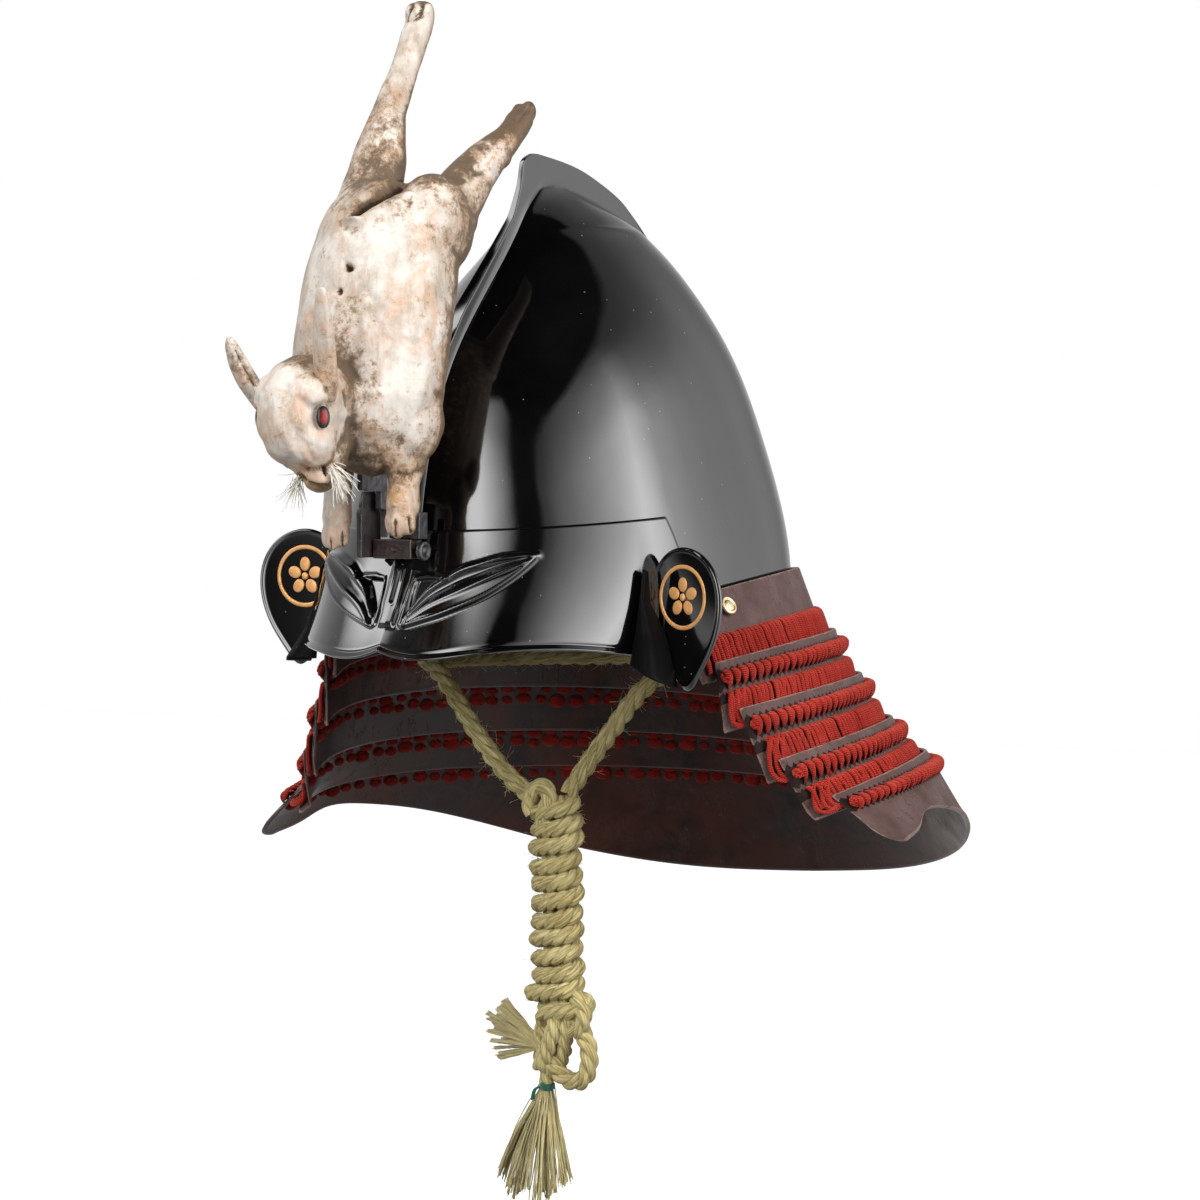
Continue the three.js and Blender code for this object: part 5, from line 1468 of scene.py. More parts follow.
def oval_ball(row, sides=20):
    turn = np.linspace(0, 2 * np.pi, sides, endpoint=False)
    rise = np.linspace(-np.pi / 2 + 0.12, np.pi / 2 - 0.12, 12)
    ring = np.stack([np.cos(rise)[:, None] * np.cos(turn), np.cos(rise)[:, None] * np.sin(turn),
        np.sin(rise)[:, None] * np.ones(sides)], -1)
    points = ring * [row["across"], row["through"], row["high"]] + [row["x"], row["y"], row["z"]]
    return points.reshape(-1, 3), tube_faces(12, sides)


def skin(name, parts, voxel, smooth):
    """One closed, smoothed skin over overlapping parts: the object, its points in millimetres and its edges."""
    points, faces = [], []
    for part_points, part_faces in parts:
        faces += [[i + len(points) for i in face] for face in part_faces]
        points += list(part_points)
    rough = make_outward(make_piece(name + "_rough", points, faces))
    modifier = rough.modifiers.new("skin", "REMESH")
    modifier.mode = "VOXEL"
    modifier.voxel_size = voxel * MM
    graph = bpy.context.evaluated_depsgraph_get()
    mesh = bpy.data.meshes.new_from_object(rough.evaluated_get(graph))
    bpy.data.objects.remove(rough)
    piece = bpy.data.objects.new(name, mesh)
    scene.collection.objects.link(piece)
    spots = np.empty(len(mesh.vertices) * 3, np.float32)
    mesh.vertices.foreach_get("co", spots)
    spots = spots.reshape(-1, 3).astype(float) / MM
    edges = np.empty(len(mesh.edges) * 2, np.int32)
    mesh.edges.foreach_get("vertices", edges)
    edges = edges.reshape(-1, 2)
    return piece, soften(spots, edges, smooth), edges


def neighbours_mean(values, edges):
    total = np.zeros_like(values)
    count = np.zeros(len(values))
    for a, b in ((0, 1), (1, 0)):
        np.add.at(total, edges[:, a], values[edges[:, b]])
        np.add.at(count, edges[:, a], 1)
    return total / np.maximum(count, 1)[:, None]


def soften(points, edges, times):
    for _ in range(times):
        points = points + 0.6 * (neighbours_mean(points, edges) - points)
        points = points - 0.28 * (neighbours_mean(points, edges) - points)
    return points


def set_points(piece, points):
    piece.data.vertices.foreach_set("co", (points * MM).astype(np.float32).ravel())
    piece.data.update()
    piece.data.shade_smooth()


def point_normals(piece):
    normals = np.empty(len(piece.data.vertices) * 3, np.float32)
    piece.data.vertices.foreach_get("normal", normals)
    return normals.reshape(-1, 3).astype(float)


# The strokes' frame: pixels a millimetre, the viewer's distance in millimetres, the rim centre's pixel
STROKE_SCALE, STROKE_AWAY, STROKE_ORIGIN = 2.17, 2300, (560, 660)


def carve(points, normals, strokes, mirror=False):
    """Moves points inward along strokes drawn over the carving as seen from the front quarter. Each stroke is
    a line in frame pixels, a half width in pixels and a depth in millimetres. Returns points and marks."""
    flip = np.array([-1, 1, 1]) if mirror else np.ones(3)
    seen, facing = points * flip, -(normals * flip) @ AWAY
    scale = STROKE_SCALE * STROKE_AWAY / (STROKE_AWAY + seen @ AWAY)
    u, v = STROKE_ORIGIN[0] + seen @ RIGHT * scale, STROKE_ORIGIN[1] - seen @ UP * scale
    waver = np.array([noise.noise(Vector(p * 0.3)) for p in points])
    dig, mark = np.zeros(len(points)), np.zeros(len(points))
    for line, width, depth in strokes:
        ends = np.array(line, float)
        reach = np.minimum(np.hypot(u - ends[0, 0], v - ends[0, 1]),
            np.hypot(u - ends[-1, 0], v - ends[-1, 1]))
        taper = 0.45 + 0.55 * smooth_step(0, 2.5 * width, reach)
        near = np.exp(-(from_line(u, v, line) / (width * taper * (1 + 0.35 * waver))) ** 2)
        near = near * smooth_step(0.05, 0.3, facing) * (1 + 0.3 * waver)
        dig += near * depth
        # The mark is painted shade: the deeper and narrower a cut, the darker it is drawn.
        mark = np.maximum(mark, near * np.clip(depth / width * 1.1 - 0.35, 0, 0.95))
    return points - normals * dig[:, None], mark


HEAD_STROKES = [([(322, 404), (317, 410), (316, 419), (320, 430)], 2.6, 0.9),
    ([(326, 403), (331, 412), (330, 424), (324, 431)], 2.6, 0.8),
    ([(313, 402), (322, 397), (333, 402)], 4.0, -1.0), ([(322, 467), (325, 470), (326, 475)], 1.7, 1.9),
    ([(300, 475), (306, 482), (313, 485), (323, 487), (332, 485), (338, 481)], 2.0, 1.7),
    ([(288, 446), (296, 458), (305, 468)], 4.5, -0.5), ([(316, 466), (321, 462)], 2.8, -0.6),
    ([(337, 452), (347, 436), (351, 415), (345, 392)], 5.5, 1.5),
    ([(292, 424), (303, 445), (314, 462)], 7, 1.1), ([(282, 432), (293, 447), (303, 466)], 4, -0.8),
    ([(287, 392), (300, 384), (312, 385)], 5.0, 0.5), ([(298, 398), (307, 404), (311, 414)], 5.0, 0.7),
    ([(326, 384), (338, 398), (344, 420)], 4.5, -0.6)]
BODY_STROKES = [([(350, 216), (362, 208), (378, 199), (392, 191), (404, 184)], 3.6, 6.0),
    ([(362, 221), (384, 209), (408, 196)], 9.0, -1.6), ([(354, 206), (372, 193), (394, 180)], 8.0, -2.4),
    ([(360, 176), (372, 160), (384, 140)], 9.0, 0.8), ([(344, 210), (340, 222), (350, 231), (362, 226)],
    4.0, 1.0), ([(347, 218), (357, 220)], 5.0, -2.4), ([(347.6, 265.4), (348, 268.4)], 4.6, 6.2),
    ([(338.8, 290), (339.2, 291.8)], 3.4, 4.6), ([(380, 458), (384, 468), (385, 476)], 4.0, 0.9),
    ([(436, 392), (444, 398)], 5, 1.2), ([(398, 474), (412, 477), (430, 464)], 3.6, 1.3),
    ([(366, 290), (378, 330), (374, 380)], 11.0, 1.1), ([(420, 250), (416, 330), (424, 390)], 12, -1.0),
    ([(395, 519), (395, 533), (396, 541)], 1.7, 1.9), ([(409, 517), (411, 529), (412, 538)], 1.7, 1.9),
    ([(331, 538), (331, 551)], 1.7, 1.9), ([(343, 532), (343, 547)], 1.9, 2.0),
    ([(407, 17), (413, 3)], 1.4, 1.3), ([(420, 17), (423, 3)], 1.4, 1.3),
    ([(402, 20), (412, 21), (420, 16)], 1.8, 0.9), ([(517, 122), (528, 108), (532, 102)], 1.5, 1.3),
    ([(470, 166), (476, 172), (486, 172)], 3.4, 1.7), ([(402, 24), (398, 45), (395, 62)], 4.5, -0.5),
    ([(417, 30), (411, 58)], 3.5, 0.6), ([(389, 76), (378, 104), (368, 128)], 6.0, 0.9),
    ([(372, 124), (384, 112), (396, 92)], 5.5, -0.7), ([(447, 184), (470, 178), (487, 186)], 7.0, 0.6),
    ([(462, 200), (470, 240), (460, 290)], 10.0, 0.9), ([(320, 300), (318, 340), (312, 370)], 8.0, 0.8)]
EAR_STROKES = [([(236, 352), (244, 368), (255, 386)], 3.6, 1.9),
    ([(330, 300), (334, 330), (335, 360)], 3.6, 0.8)]


def carved_material():
    """Cream paint over wood, rubbed grey, with ochre and pink stains; dirt and painted shade darken the hollows,
    the deep cuts and the faces turned back, up and down, and painted light brightens the face.
    """
    material, tree, shader, where = new_material("painted_hare", Specular_IOR_Level=0.3)
    hollow, soot_and_painted_shade, warm = attribute(tree, "hollow"), attribute(tree, "soot_and_painted_shade"), attribute(tree, "warm")
    wide = noise_of(tree, where, 30.0, 6, 0.62, 0.3)
    fine = noise_of(tree, where, 190.0, 6, 0.7)
    speck = noise_of(tree, where, 640.0, 4, 0.7)
    base = maths(tree, "MULTIPLY_ADD", soot_and_painted_shade, -0.12, wide)
    base = mix(tree, ramp(tree, base, [(0.33, 0.0), (0.56, 1.0)]), (0.47, 0.385, 0.31), (0.73, 0.68, 0.62))
    blush = maths(tree, "ADD", noise_of(tree, where, 48.0, 5, 0.62, 1.2),
        maths(tree, "MULTIPLY", warm, 0.11))
    base = mix(tree, ramp(tree, blush, [(0.50, 0.0), (0.68, 0.7)]), base, (0.60, 0.375, 0.24))
    ochre = maths(tree, "ADD", noise_of(tree, where, 88.0, 6, 0.74, 0.6),
        maths(tree, "MULTIPLY", warm, 0.055))
    base = mix(tree, ramp(tree, ochre, [(0.63, 0.0), (0.69, 0.85)]), base, (0.55, 0.29, 0.10))
    streaks = add_node(tree, "ShaderNodeVectorMath", {0: where, 1: (1, 1, 0.2)},
        operation="MULTIPLY").outputs[0]
    drag = noise_of(tree, streaks, 200.0, 5, 0.72)
    grey = maths(tree, "MULTIPLY", ramp(tree, drag, [(0.40, 0.0), (0.66, 1.0)]),
        ramp(tree, wide, [(0.40, 1.0), (0.62, 0.15)]))
    base = mix(tree, maths(tree, "MULTIPLY", grey, 0.6), base, (0.23, 0.17, 0.12))
    # Dirt and painted shade: fine noise and specks with the hollows and the facing level, drawn brown and then
    # near black.
    dirt_and_shade = maths(tree, "MULTIPLY_ADD", fine, 2.1, -1.1)
    dirt_and_shade = maths(tree, "ADD", dirt_and_shade, maths(tree, "MULTIPLY_ADD", speck, 0.9, -0.45))
    dirt_and_shade = maths(tree, "ADD", dirt_and_shade, maths(tree, "ADD", hollow, soot_and_painted_shade))
    base = mix(tree, ramp(tree, dirt_and_shade, [(0.0, 0.0), (0.42, 0.6)]), base, (0.40, 0.235, 0.115))
    base = mix(tree, ramp(tree, dirt_and_shade, [(0.2, 0.0), (0.66, 0.9)]), base, (0.085, 0.056, 0.034))
    # Painted shade: the deepest hollows and cuts drawn nearly black.
    base = mix(tree, ramp(tree, hollow, [(0.6, 0.0), (0.95, 0.9)]), base, (0.026, 0.015, 0.009))
    pits = maths(tree, "SUBTRACT", speck, maths(tree, "MULTIPLY", soot_and_painted_shade, 0.12))
    base = mix(tree, ramp(tree, pits, [(0.27, 0.8), (0.33, 0.0)]), base, (0.09, 0.06, 0.04))
    coat(tree, shader, base, ramp(tree, fine, [(0.3, 0.62), (0.7, 0.42)]))
    height = maths(tree, "ADD", maths(tree, "MULTIPLY", fine, 1.2), maths(tree, "MULTIPLY", speck, 0.35))
    bump(tree, shader, maths(tree, "ADD", height, drag), 0.0005, 0.6)
    return material


CARVED = carved_material()


def finish_carving(piece, points, edges, mark, soot_and_painted_shade, warm):
    set_points(piece, points)
    normals = point_normals(piece)
    # The hollow level is painted shade and dirt: concave places are drawn darker, with the marks of the cuts.
    relief = np.einsum("ij,ij->i", neighbours_mean(points, edges) - points, normals)[:, None]
    for _ in range(6):
        relief = neighbours_mean(relief, edges)
    hollow = np.clip(relief[:, 0] * 15.0, 0, 0.58)
    piece.data.materials.clear()
    piece.data.materials.append(CARVED)
    put_attribute(piece, "hollow", np.clip(hollow + mark, 0, 1))
    put_attribute(piece, "soot_and_painted_shade", soot_and_painted_shade)
    put_attribute(piece, "warm", warm)
    return piece


def smudge_and_shade_spots(points, spots):
    """Darkness from a table of spots, as centre, reach and strength: smudges of dirt with painted shade, and
    painted light where a strength is negative. The warm stains are laid out with it too.
    """
    level = np.zeros(len(points))
    for *centre, reach, strength in spots:
        level += strength * np.exp(-(np.linalg.norm(points - centre, axis=1) / reach) ** 2)
    return level


def make_hare():
    rows = (HARE_BODY, HARE_HEAD, HARE_NECK, FAR_HIND, NEAR_HIND, FAR_FORE, NEAR_FORE)
    parts = [oval_limb(part) for part in rows] + [oval_ball(row) for row in MUSCLES]
    piece, points, edges = skin("hare_carving", parts, 0.95, 7)
    set_points(piece, points)
    normals = point_normals(piece)
    lumps = np.array([noise.noise(Vector(p * 0.045)) + 0.5 * noise.noise(Vector(p * 0.11)) for p in points])
    points = points + normals * (lumps * 0.55)[:, None]
    head = smooth_step(-160, -168, points[:, 1]) * smooth_step(140, 130, points[:, 2]) * smooth_step(70, 76,
        points[:, 2])
    carved, mark = points.copy(), np.zeros(len(points))
    for mirror in (False, True):
        moved, here = carve(points, normals, HEAD_STROKES, mirror)
        carved += (moved - points) * head[:, None]
        mark = np.maximum(mark, here * head)
    moved, here = carve(carved, normals, BODY_STROKES)
    carved = lerp(moved, carved, (head * smooth_step(-172, -176, points[:, 1]))[:, None])
    mark = np.maximum(mark, here * (1 - head))
    # Painted shade by facing: faces turned back toward the bowl, up, down and to the far side are drawn darker.
    # The spots below add dirt with painted shade, and painted light on the face where negative.
    side, top = normals[:, 1], normals[:, 2]
    soot_and_painted_shade = 0.62 * smooth_step(-0.1, 0.62, side) + 0.42 * smooth_step(0.45, 0.9, top)
    soot_and_painted_shade += 0.34 * smooth_step(-0.4, -0.9, top) + 0.12 * smooth_step(-0.6, -0.85, normals[:, 0])
    soot_and_painted_shade += smudge_and_shade_spots(carved, [(-22, -100, 240, 15, 0.55), (-20, -112, 215, 15, 0.75), (24, -68, 238, 13, 0.75),
        (12, -112, 216, 17, 0.75), (6, -168, 124, 12, 0.9), (-12, -168, 126, 12, 0.5),
        (0, -196, 84, 8, 0.3), (32, -135, 98, 15, 0.5), (-2, -208, 112, 20, -0.9), (10, -204, 96, 12, -0.6),
        (12, -165, 175, 16, -0.3), (24, -158, 140, 14, -0.25), (-30, -135, 100, 14, 0.5),
        (-21, -77, 295, 6, 0.5), (25, -58, 247, 9, 0.85), (20, -148, 66, 6, 0.3), (12, -170, 90, 15, 0.5),
        (38, -118, 190, 20, 0.42), (0, -188, 134, 12, 0.6), (9, -167, 158, 8, 0.42), (6, -168, 142, 9, 0.5),
        (-36, -130, 160, 24, 0.42), (37, -125, 140, 17, 0.3), (18, -150, 84, 9, 0.3),
        (12, -196, 122, 8, 0.5), (-18, -170, 98, 12, 0.5), (-15, -148, 60, 6, 0.35),
        (24, -80, 226, 9, 0.35), (22, -62, 245, 11, 0.55), (-22, -112, 205, 12, 0.4),
        (20, -124, 112, 10, 0.3), (-15, -147, 66, 16, -0.4), (-2, -124, 208, 20, 0.35)])
    warm = smudge_and_shade_spots(carved, [(0, -200, 108, 30, 0.7), (5, -191, 82, 9, 4.0), (24, -78, 226, 24, 1.2),
        (20, -146, 70, 20, 1.3), (-15, -147, 66, 20, 1.3), (-22, -105, 224, 18, 0.9),
        (30, -150, 150, 24, 0.6), (-24, -150, 140, 14, 1.6)])
    place(finish_carving(piece, carved, edges, mark, soot_and_painted_shade, warm), "carved", "hare_figure")
    for name, part in (("left", EAR_LEFT), ("right", EAR_RIGHT)):
        ear, points, edges = skin(f"hare_ear_{name}_carving", [oval_limb(part, 24, 30)], 0.5, 5)
        set_points(ear, points)
        moved, here = carve(points, point_normals(ear), EAR_STROKES)
        # Painted shade: the left ear darker toward its foot, the right ear darker all over.
        soot_and_painted_shade = 0.3 * smooth_step(150, 122, moved[:, 2]) if name == "left" else np.full(len(moved), 0.25)
        place(finish_carving(ear, moved, edges, here * 0.8, soot_and_painted_shade, np.full(len(moved), 0.4)), "carved",
            f"hare_ear_{name}")


def eye_material():
    """Red glass over a dark rim."""
    material, tree, shader, where = new_material("red_eye", Specular_IOR_Level=0.4)
    rim = attribute(tree, "rim")
    cloud = noise_of(tree, where, 500.0, 4, 0.6)
    base = mix(tree, ramp(tree, cloud, [(0.35, 0.0), (0.7, 1.0)]), (0.11, 0.006, 0.006), (0.34, 0.02, 0.018))
    base = mix(tree, ramp(tree, maths(tree, "MULTIPLY_ADD", cloud, 0.3, rim), [(0.66, 0.0), (0.82, 1.0)]),
        base, (0.012, 0.008, 0.007))
    coat(tree, shader, base, ramp(tree, cloud, [(0.3, 0.2), (0.7, 0.32)]))
    return material


def make_eyes():
    glass = eye_material()
    for name, side, sunk in (("left", 1, 0.0), ("right", -1, 2.4)):
        out = unit(np.array([side * 0.84, -0.54, 0.0]))
        across = np.array([-out[1], out[0], 0])
        turn = np.linspace(0, 2 * np.pi, 40, endpoint=False)
        points, rim = [], []
        radii = np.sin(np.linspace(0.02, np.pi - 0.02, 22))
        depth = np.cos(np.linspace(0.02, np.pi - 0.02, 22))
        for radius, deep in zip(radii, depth):
            wide = EYE["across"] * radius * np.sign(np.cos(turn)) * np.abs(np.cos(turn)) ** 0.85
            high = EYE["high"] * radius * np.sin(turn)
            centre = np.array([side * EYE["x"], EYE["y"], EYE["z"]]) - out * sunk
            ring = centre + across * wide[:, None] + out * EYE["through"] * deep + np.array(
                [0, 0, 1.0]) * high[:, None]
            points.extend(ring)
            rim.extend([radius if deep > 0 else 1.0] * 40)
        eye = make_piece(f"hare_eye_{name}_glass", points, tube_faces(22, 40), glass)
        put_attribute(eye, "rim", rim)
        place(make_outward(eye), "eye", f"hare_eye_{name}")


def make_whiskers():
    material, tree, shader, where = new_material("whisker_bristle", Specular_IOR_Level=0.3)
    shade = noise_of(tree, where, 900.0, 2, 0.5)
    bristle = mix(tree, shade, (0.72, 0.65, 0.52), (0.95, 0.93, 0.88))
    coat(tree, shader, bristle, ramp(tree, shade, [(0.3, 0.75), (0.8, 0.5)]))
    pick = np.random.default_rng(5)
    lines, swell = [], []
    for side, count in ((1, 46), (-1, 30)):
        for _ in range(count):
            root = np.array([7 + side * 9, -190, 85.5 + 2 * side]) + pick.normal(0, 1.1, 3) * [0.8, 1.0, 1.4]
            way = unit(np.array([side * (0.64 + 0.1 * side), 0.1, -0.75]) + pick.normal(0, 0.26, 3))
            length = pick.uniform(7, 15)
            t = np.linspace(0, 1, 8)[:, None]
            bend = np.array([0, 0, -1.0]) + pick.normal(0, 0.8, 3)
            lines.append(root + way * length * t + bend * 1.6 * t * t)
            swell.append(np.linspace(1.0, 0.35, 8))
    return place(swept("hare_whiskers", lines, 0.24, 0.24, material, 5, swell=swell), "carved")


make_hare()
make_eyes()
make_whiskers()


# Bracket on the brow: worn iron and old red-brown lacquer
def iron_material(name, face, worn_colour, rough):
    material, tree, shader, where = new_material(name, Specular_IOR_Level=0.55)
    dust = use(tree, DUST, {"Vector": where, "Specks": 0.6})
    worn = use(tree, WEAR, {"Vector": where, "Edge": attribute(tree, "edge"), "Scale": 260.0, "Amount": 0.5})
    cloud = noise_of(tree, where, 210.0, 5, 0.65, 0.5)
    base = mix(tree, ramp(tree, cloud, [(0.35, 0.0), (0.7, 1.0)]), face, [c * 2.2 for c in face])
    base = mix(tree, maths(tree, "MULTIPLY", worn["Mask"], 0.75), base, worn_colour)
    base = mix(tree, maths(tree, "MULTIPLY", dust["Mask"], 0.5), base, (0.3, 0.28, 0.25))
    coat(tree, shader, base, ramp(tree, cloud, [(0.3, rough), (0.75, rough + 0.25)]))
    bump(tree, shader, maths(tree, "ADD", cloud, noise_of(tree, where, 900.0, 4, 0.6)), 0.0003, 0.6)
    return material


IRON = iron_material("worn_iron", (0.012, 0.011, 0.012), (0.11, 0.1, 0.1), 0.24)
TANG_IRON = iron_material("tang_iron", (0.05, 0.047, 0.05), (0.16, 0.15, 0.15), 0.3)
RED_BROWN = iron_material("old_red_lacquer", (0.016, 0.0085, 0.0075), (0.17, 0.13, 0.12), 0.3)
PRONG_IRON = iron_material("prong_iron", (0.014, 0.0105, 0.01), (0.12, 0.1, 0.095), 0.42)
DARK_IRON = iron_material("dark_iron", (0.006, 0.004, 0.0035), (0.05, 0.035, 0.03), 0.5)


def block(name, low, high, round_edge, material, change=None, cuts=14):
    """A box with rounded, slightly uneven edges; change may move its points."""
    low, high = np.array(low, float), np.array(high, float)
    centre, half = (low + high) / 2, (high - low) / 2
    steps = [np.concatenate([-h + round_edge * np.array([0, 0.2, 0.5]),
        np.linspace(-h + round_edge, h - round_edge, cuts), h - round_edge * np.array([0.5, 0.2, 0])]) for h
        in half]
    points, faces = [], []
    for axis in range(3):
        b, c = (axis + 1) % 3, (axis + 2) % 3
        for side in (-1, 1):
            grid = np.zeros((len(steps[b]), len(steps[c]), 3))
            grid[..., axis], grid[..., b], grid[..., c] = side * half[axis], steps[b][:,
                None], steps[c][None]
            index = np.arange(grid[..., 0].size).reshape(grid.shape[:2]) + len(points)
            quads = np.stack([index[:-1, :-1], index[1:, :-1], index[1:, 1:], index[:-1, 1:]],
                -1).reshape(-1, 4)
            faces += (quads if side > 0 else quads[:, ::-1]).tolist()
            points += grid.reshape(-1, 3).tolist()
    points = np.array(points)
    inner = np.clip(points, -(half - round_edge), half - round_edge)
    off = points - inner
    edge = 1 - np.max(np.abs(unit(off)), axis=1)
    points = inner + unit(off) * round_edge + centre
    points += np.array([list(noise.noise_vector(Vector(p * 0.35))) for p in points]) * 0.16
    if change:
        points = change(points)
    _, first, same = np.unique(np.round(points, 3), axis=0, return_index=True, return_inverse=True)
    same = same.ravel()
    faces = [[int(same[i]) for i in face] for face in faces]
    piece = make_piece(name, points[first], [face for face in faces if len(set(face)) == 4], material)
    put_attribute(piece, "edge", np.clip(edge[first] / 0.25, 0, 1))
    piece.data.shade_smooth()
    return piece


def lathe(name, centre, axis, profile, material, sides=40):
    """A turned piece: rows of distance along the axis, radius and edge wear."""
    axis = unit(np.array(axis, float))
    side = unit(np.cross(axis, [0.1, 0.2, 1.0]))
    other = np.cross(axis, side)
    turn = np.linspace(0, 2 * np.pi, sides, endpoint=False)
    ring = side * np.cos(turn)[:, None] + other * np.sin(turn)[:, None]
    points = np.concatenate([np.array(centre) + axis * at + ring * radius for at, radius, _ in profile])
    piece = make_outward(make_piece(name, points, tube_faces(len(profile), sides), material))
    put_attribute(piece, "edge", np.repeat([worn for _, _, worn in profile], sides))
    piece.data.shade_smooth()
    return piece


def make_bracket():
    def prong(points):
        points = points.copy()
        top = smooth_step(69.5, 70.2, points[:, 2])
        points[:, 0] += (-13.35 - points[:, 0]) * 0.28 * top
        points[:, 1] += (-127 - points[:, 1]) * (0.16 * top + 0.3 * smooth_step(72, 78, points[:, 2]))
        return points

    def tongue(points):
        """The plate's foot is narrower, inside the bracket."""
        points = points.copy()
        shoulder, foot = smooth_step(78.6, 78.2, points[:, 2]), smooth_step(70.4, 69.8, points[:, 2])
        points[:, 1] += (-122 - points[:, 1]) * (0.744 * shoulder + 0.206 * foot)
        return points

    def knotty(points):
        points = points.copy()
        away = np.hypot(points[:, 0] - 1.5, (points[:, 2] - 52.6) * 1.3)
        swirl = 0.35 * np.exp(-(away / 2.6) ** 2) * np.cos(away * 2.4) - 0.9 * np.exp(
            -((away - 0.4) / 0.9) ** 2)
        points[:, 1] -= swirl * smooth_step(-125, -126, points[:, 1])
        return points

    place(block("bracket_base_wood", (-11, -127, 48.5), (10, -118.5, 57), 0.6, RED_BROWN, knotty, 40),
        "dark_metal", "bracket_base")
    place(block("bracket_back_plate", (-6, -121.5, 57.3), (7.6, -119.5, 76), 0.4, DARK_IRON), "dark_metal",
        "bracket_back")
    place(block("bracket_slat", (9.6, -126, 57.3), (14, -119.5, 69), 0.5, IRON), "dark_metal",
        "bracket_cheek_left")
    place(block("bracket_prong", (-14.8, -134, 49), (-11.9, -119.5, 78), 0.6, PRONG_IRON, prong, 30),
        "dark_metal", "bracket_cheek_right")
    boss = [(-1.5, 0.6, 0.2), (-1.5, 3.4, 0.2), (-1.2, 4.0, 0.7), (-0.8, 4.2, 0.6), (0.7, 4.2, 0.4),
        (1.2, 3.9, 0.9), (1.5, 3.3, 0.7), (1.45, 2.4, 0.1), (1.0, 2.1, 0.0), (0.9, 1.6, 0.1),
        (1.3, 1.3, 0.5), (1.45, 0.7, 0.4), (1.5, 0.2, 0.3)]
    place(lathe("bracket_boss", (13.7, -122.5, 52), (1, 0, 0), boss, IRON), "dark_metal", "bracket_pin")
    pin = [(-0.4, 0.2, 0), (-0.4, 0.7, 0), (0.1, 0.8, 0.6), (0.45, 0.55, 1), (0.6, 0.2, 1)]
    place(lathe("bracket_small_rivet", (-4.4, -121.9, 64.5), (0, -1, 0), pin, GILT_METAL, 20), "dark_metal")
    place(block("crest_tang_plate", (-9.5, -140, 58), (-6.5, -122, 95), 0.4, TANG_IRON, tongue, 60),
        "dark_metal", "crest_tang")


make_bracket()


# Studio
def stage_material(name, colour, glow):
    return new_material(name, Base_Color=colour, Roughness=0.9, Emission_Color=(1, 1, 1),
        Emission_Strength=glow)[0]


def make_floor():
    """A pale floor well below the helmet, which hangs as it does on a head."""
    wide, deep = 6000, -420
    corners = [(-wide, -wide, deep), (wide, -wide, deep), (wide, wide, deep), (-wide, wide, deep)]
    floor = make_piece("floor", corners, [(0, 1, 2, 3)], stage_material("floor_paper", (0.9, 0.9, 0.9),
        0.85))
    floor.visible_glossy = floor.visible_diffuse = False


def soft_box(name, turn, rise, away, size, power, colour=(1, 1, 1)):
    """A soft light at an angle right of the camera and a height angle, aimed at the helmet."""
    data = bpy.data.lights.new(name, "AREA")
    data.shape = "RECTANGLE"
    data.size, data.size_y = size
    data.energy = power
    data.color = colour
    light = bpy.data.objects.new(name, data)
    angle = VIEW_TURN - math.pi / 2 + math.radians(turn)
    flat = math.cos(math.radians(rise))
    way = Vector((math.cos(angle) * flat, math.sin(angle) * flat, math.sin(math.radians(rise))))
    light.location = way * away
    light.rotation_euler = (-way).to_track_quat("-Z", "Y").to_euler()
    light.visible_glossy = False
    scene.collection.objects.link(light)


def panel_light(tree):
    """What gloss mirrors: a tall strip left of the camera and a wide panel to its right that is brightest in
    its middle, both fading upward, a high panel far to the left, and a pale table. Angles are turned from
    the camera's side."""
    way = tree.nodes.new("ShaderNodeTexCoord").outputs["Generated"]
    turned = add_node(tree, "ShaderNodeVectorRotate", {"Vector": way, "Angle": math.pi / 2 - VIEW_TURN},
        rotation_type="Z_AXIS")
    split = add_node(tree, "ShaderNodeSeparateXYZ", {"Vector": turned.outputs[0]})
    across = maths(tree, "MULTIPLY_ADD", maths(tree, "ARCTAN2", split.outputs[1], split.outputs[0]),
        0.5 / math.pi, 0.5)
    rise = maths(tree, "MULTIPLY_ADD", maths(tree, "ARCSINE", split.outputs[2]), 1 / math.pi, 0.5)
    hot = ramp(tree, across, [(0.5 + turn / 360, value / 8) for turn, value in PANEL_GLOW])
    cloth = ramp(tree, across, [(0.5 + turn / 360, value) for turn, value in PANEL_CLOTH])
    high = ramp(tree, across, [(0.5 + turn / 360, value) for turn, value in HIGH_PANEL])
    top = ramp(tree, across, [(0.5 + turn / 360, 0.5 + value / 180) for turn, value in PANEL_TOP])
    stop = maths(tree, "MULTIPLY", maths(tree, "SUBTRACT", top, rise), 60.0, clamp=True)
    fade, dim, low, lift = (ramp(tree, rise, [(0.5 + turn / 180, value) for turn, value in rows]) for rows
        in (GLOW_RISE, CLOTH_RISE, TABLE_RISE, HIGH_RISE))
    panel = maths(tree, "MULTIPLY_ADD", maths(tree, "MULTIPLY", hot, fade), 8,
        maths(tree, "MULTIPLY", cloth, dim))
    panel = maths(tree, "MULTIPLY_ADD", maths(tree, "MULTIPLY", high, lift), 5.0, panel)
    return maths(tree, "MULTIPLY_ADD", panel, stop, low)


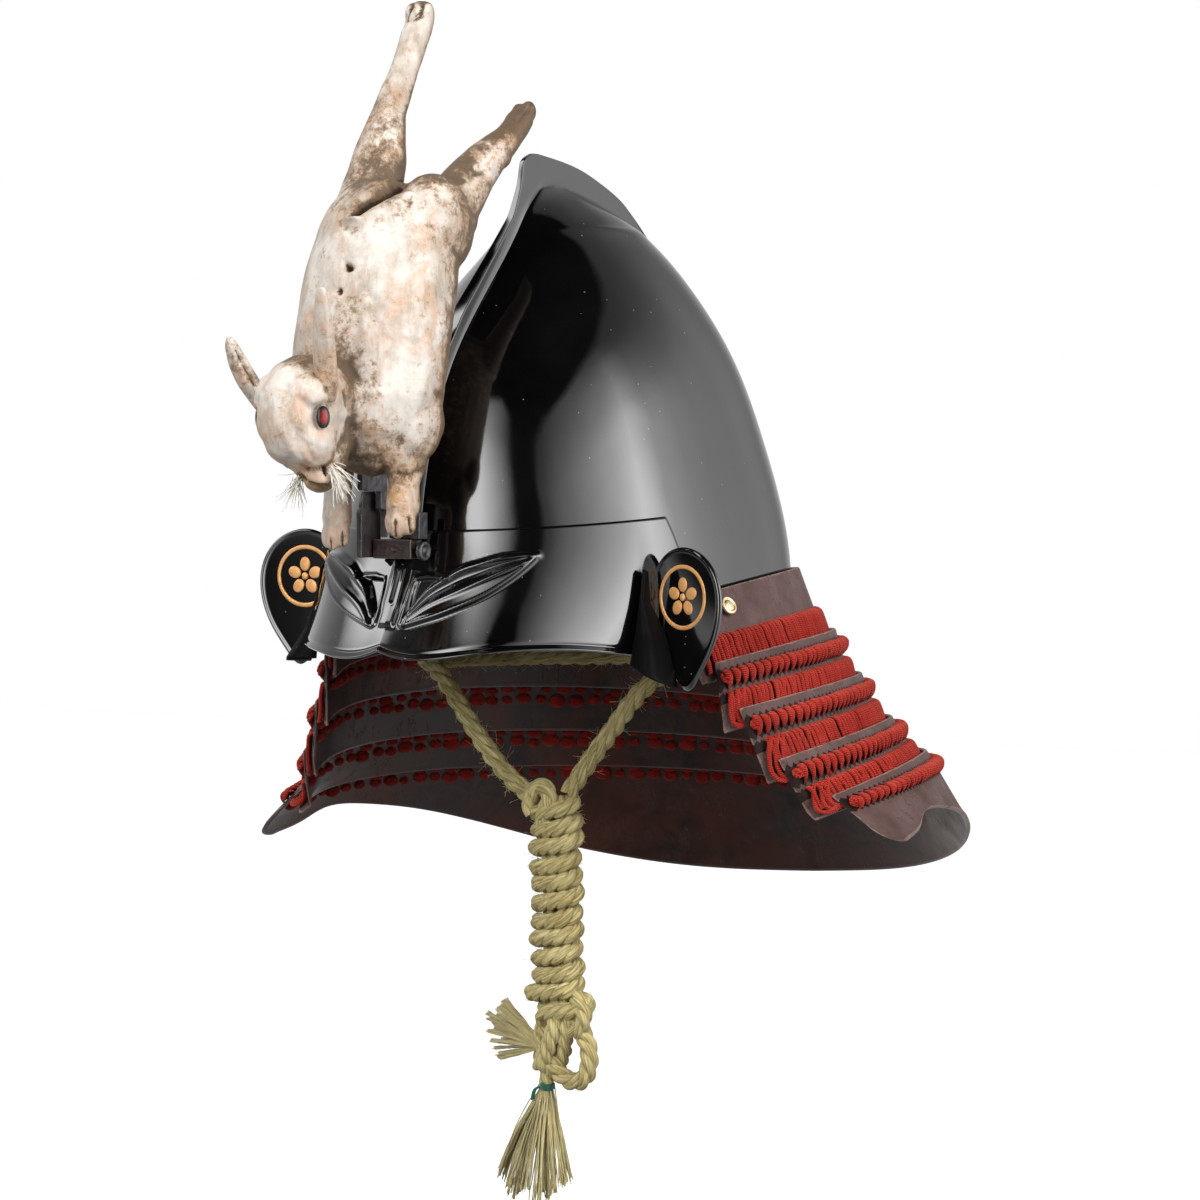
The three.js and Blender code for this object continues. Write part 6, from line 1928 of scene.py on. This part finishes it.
PANEL_GLOW = [(-43, 0.0), (-38, 2.8), (-31, 6.4), (-25, 6.4), (-14, 2.5), (-9, 1.0), (-5, 0.0), (12, 0.0),
    (25, 0.8), (38, 2.0), (50, 3.5), (62, 5.9), (68, 4.6), (76, 2.4), (90, 1.3), (105, 0.7), (125, 0.3),
    (150, 0.0)]
PANEL_CLOTH = [(-180, 0.8), (-150, 1.0), (-120, 0.7), (-60, 0.25), (-45, 0.04), (-40, 0.3), (-10, 0.3),
    (-6, 0.01), (7, 0.01), (10, 0.45), (22, 0.75), (60, 0.9), (110, 0.9), (135, 0.75), (155, 0.45),
    (180, 0.8)]
GLOW_RISE = [(-60, 0.0), (-14, 0.25), (-4, 1.0), (25, 1.0), (30, 0.95), (35, 0.8), (40, 0.5), (45, 0.34),
    (50, 0.2), (55, 0.05), (59, 0.0)]
PANEL_TOP = [(-180, 50), (-124, 50), (-110, 72), (-74, 72), (-62, 50), (-43, 50), (-14, 52), (-5, 44),
    (8, 40), (14, 44), (27, 50), (45, 57), (60, 61), (85, 65), (180, 60)]
HIGH_PANEL = [(-120, 0.0), (-108, 0.92), (-76, 1.0), (-66, 0.0)]
HIGH_RISE = [(12, 0.0), (22, 1.0), (62, 1.0), (70, 0.0)]
CLOTH_RISE = [(-90, 0.9), (12, 0.9), (28, 0.78), (40, 0.5), (50, 0.32), (65, 0.22)]
TABLE_RISE = [(-90, 0.08), (-50, 0.15), (-14, 0.4), (-4, 0.006), (90, 0.006)]


def make_world():
    world = bpy.data.worlds.new("studio")
    scene.world = world
    world.use_nodes = True
    tree = world.node_tree
    seen = tree.nodes.new("ShaderNodeLightPath").outputs["Is Camera Ray"]
    shine = tree.nodes.new("ShaderNodeLightPath").outputs["Is Glossy Ray"]
    level = mix(tree, shine, (0.15, 0.15, 0.15), panel_light(tree))
    tree.links.new(mix(tree, seen, level, (1, 1, 1)), tree.nodes["Background"].inputs["Color"])


scene.view_settings.view_transform = "Standard"
make_floor()
make_world()
soft_box("key", 50, 24, 2.2, (1.3, 1.5), 46)
soft_box("strip", -30, 20, 2.2, (0.6, 1.7), 34)
soft_box("top", -10, 66, 2.1, (1.2, 1.2), 16)
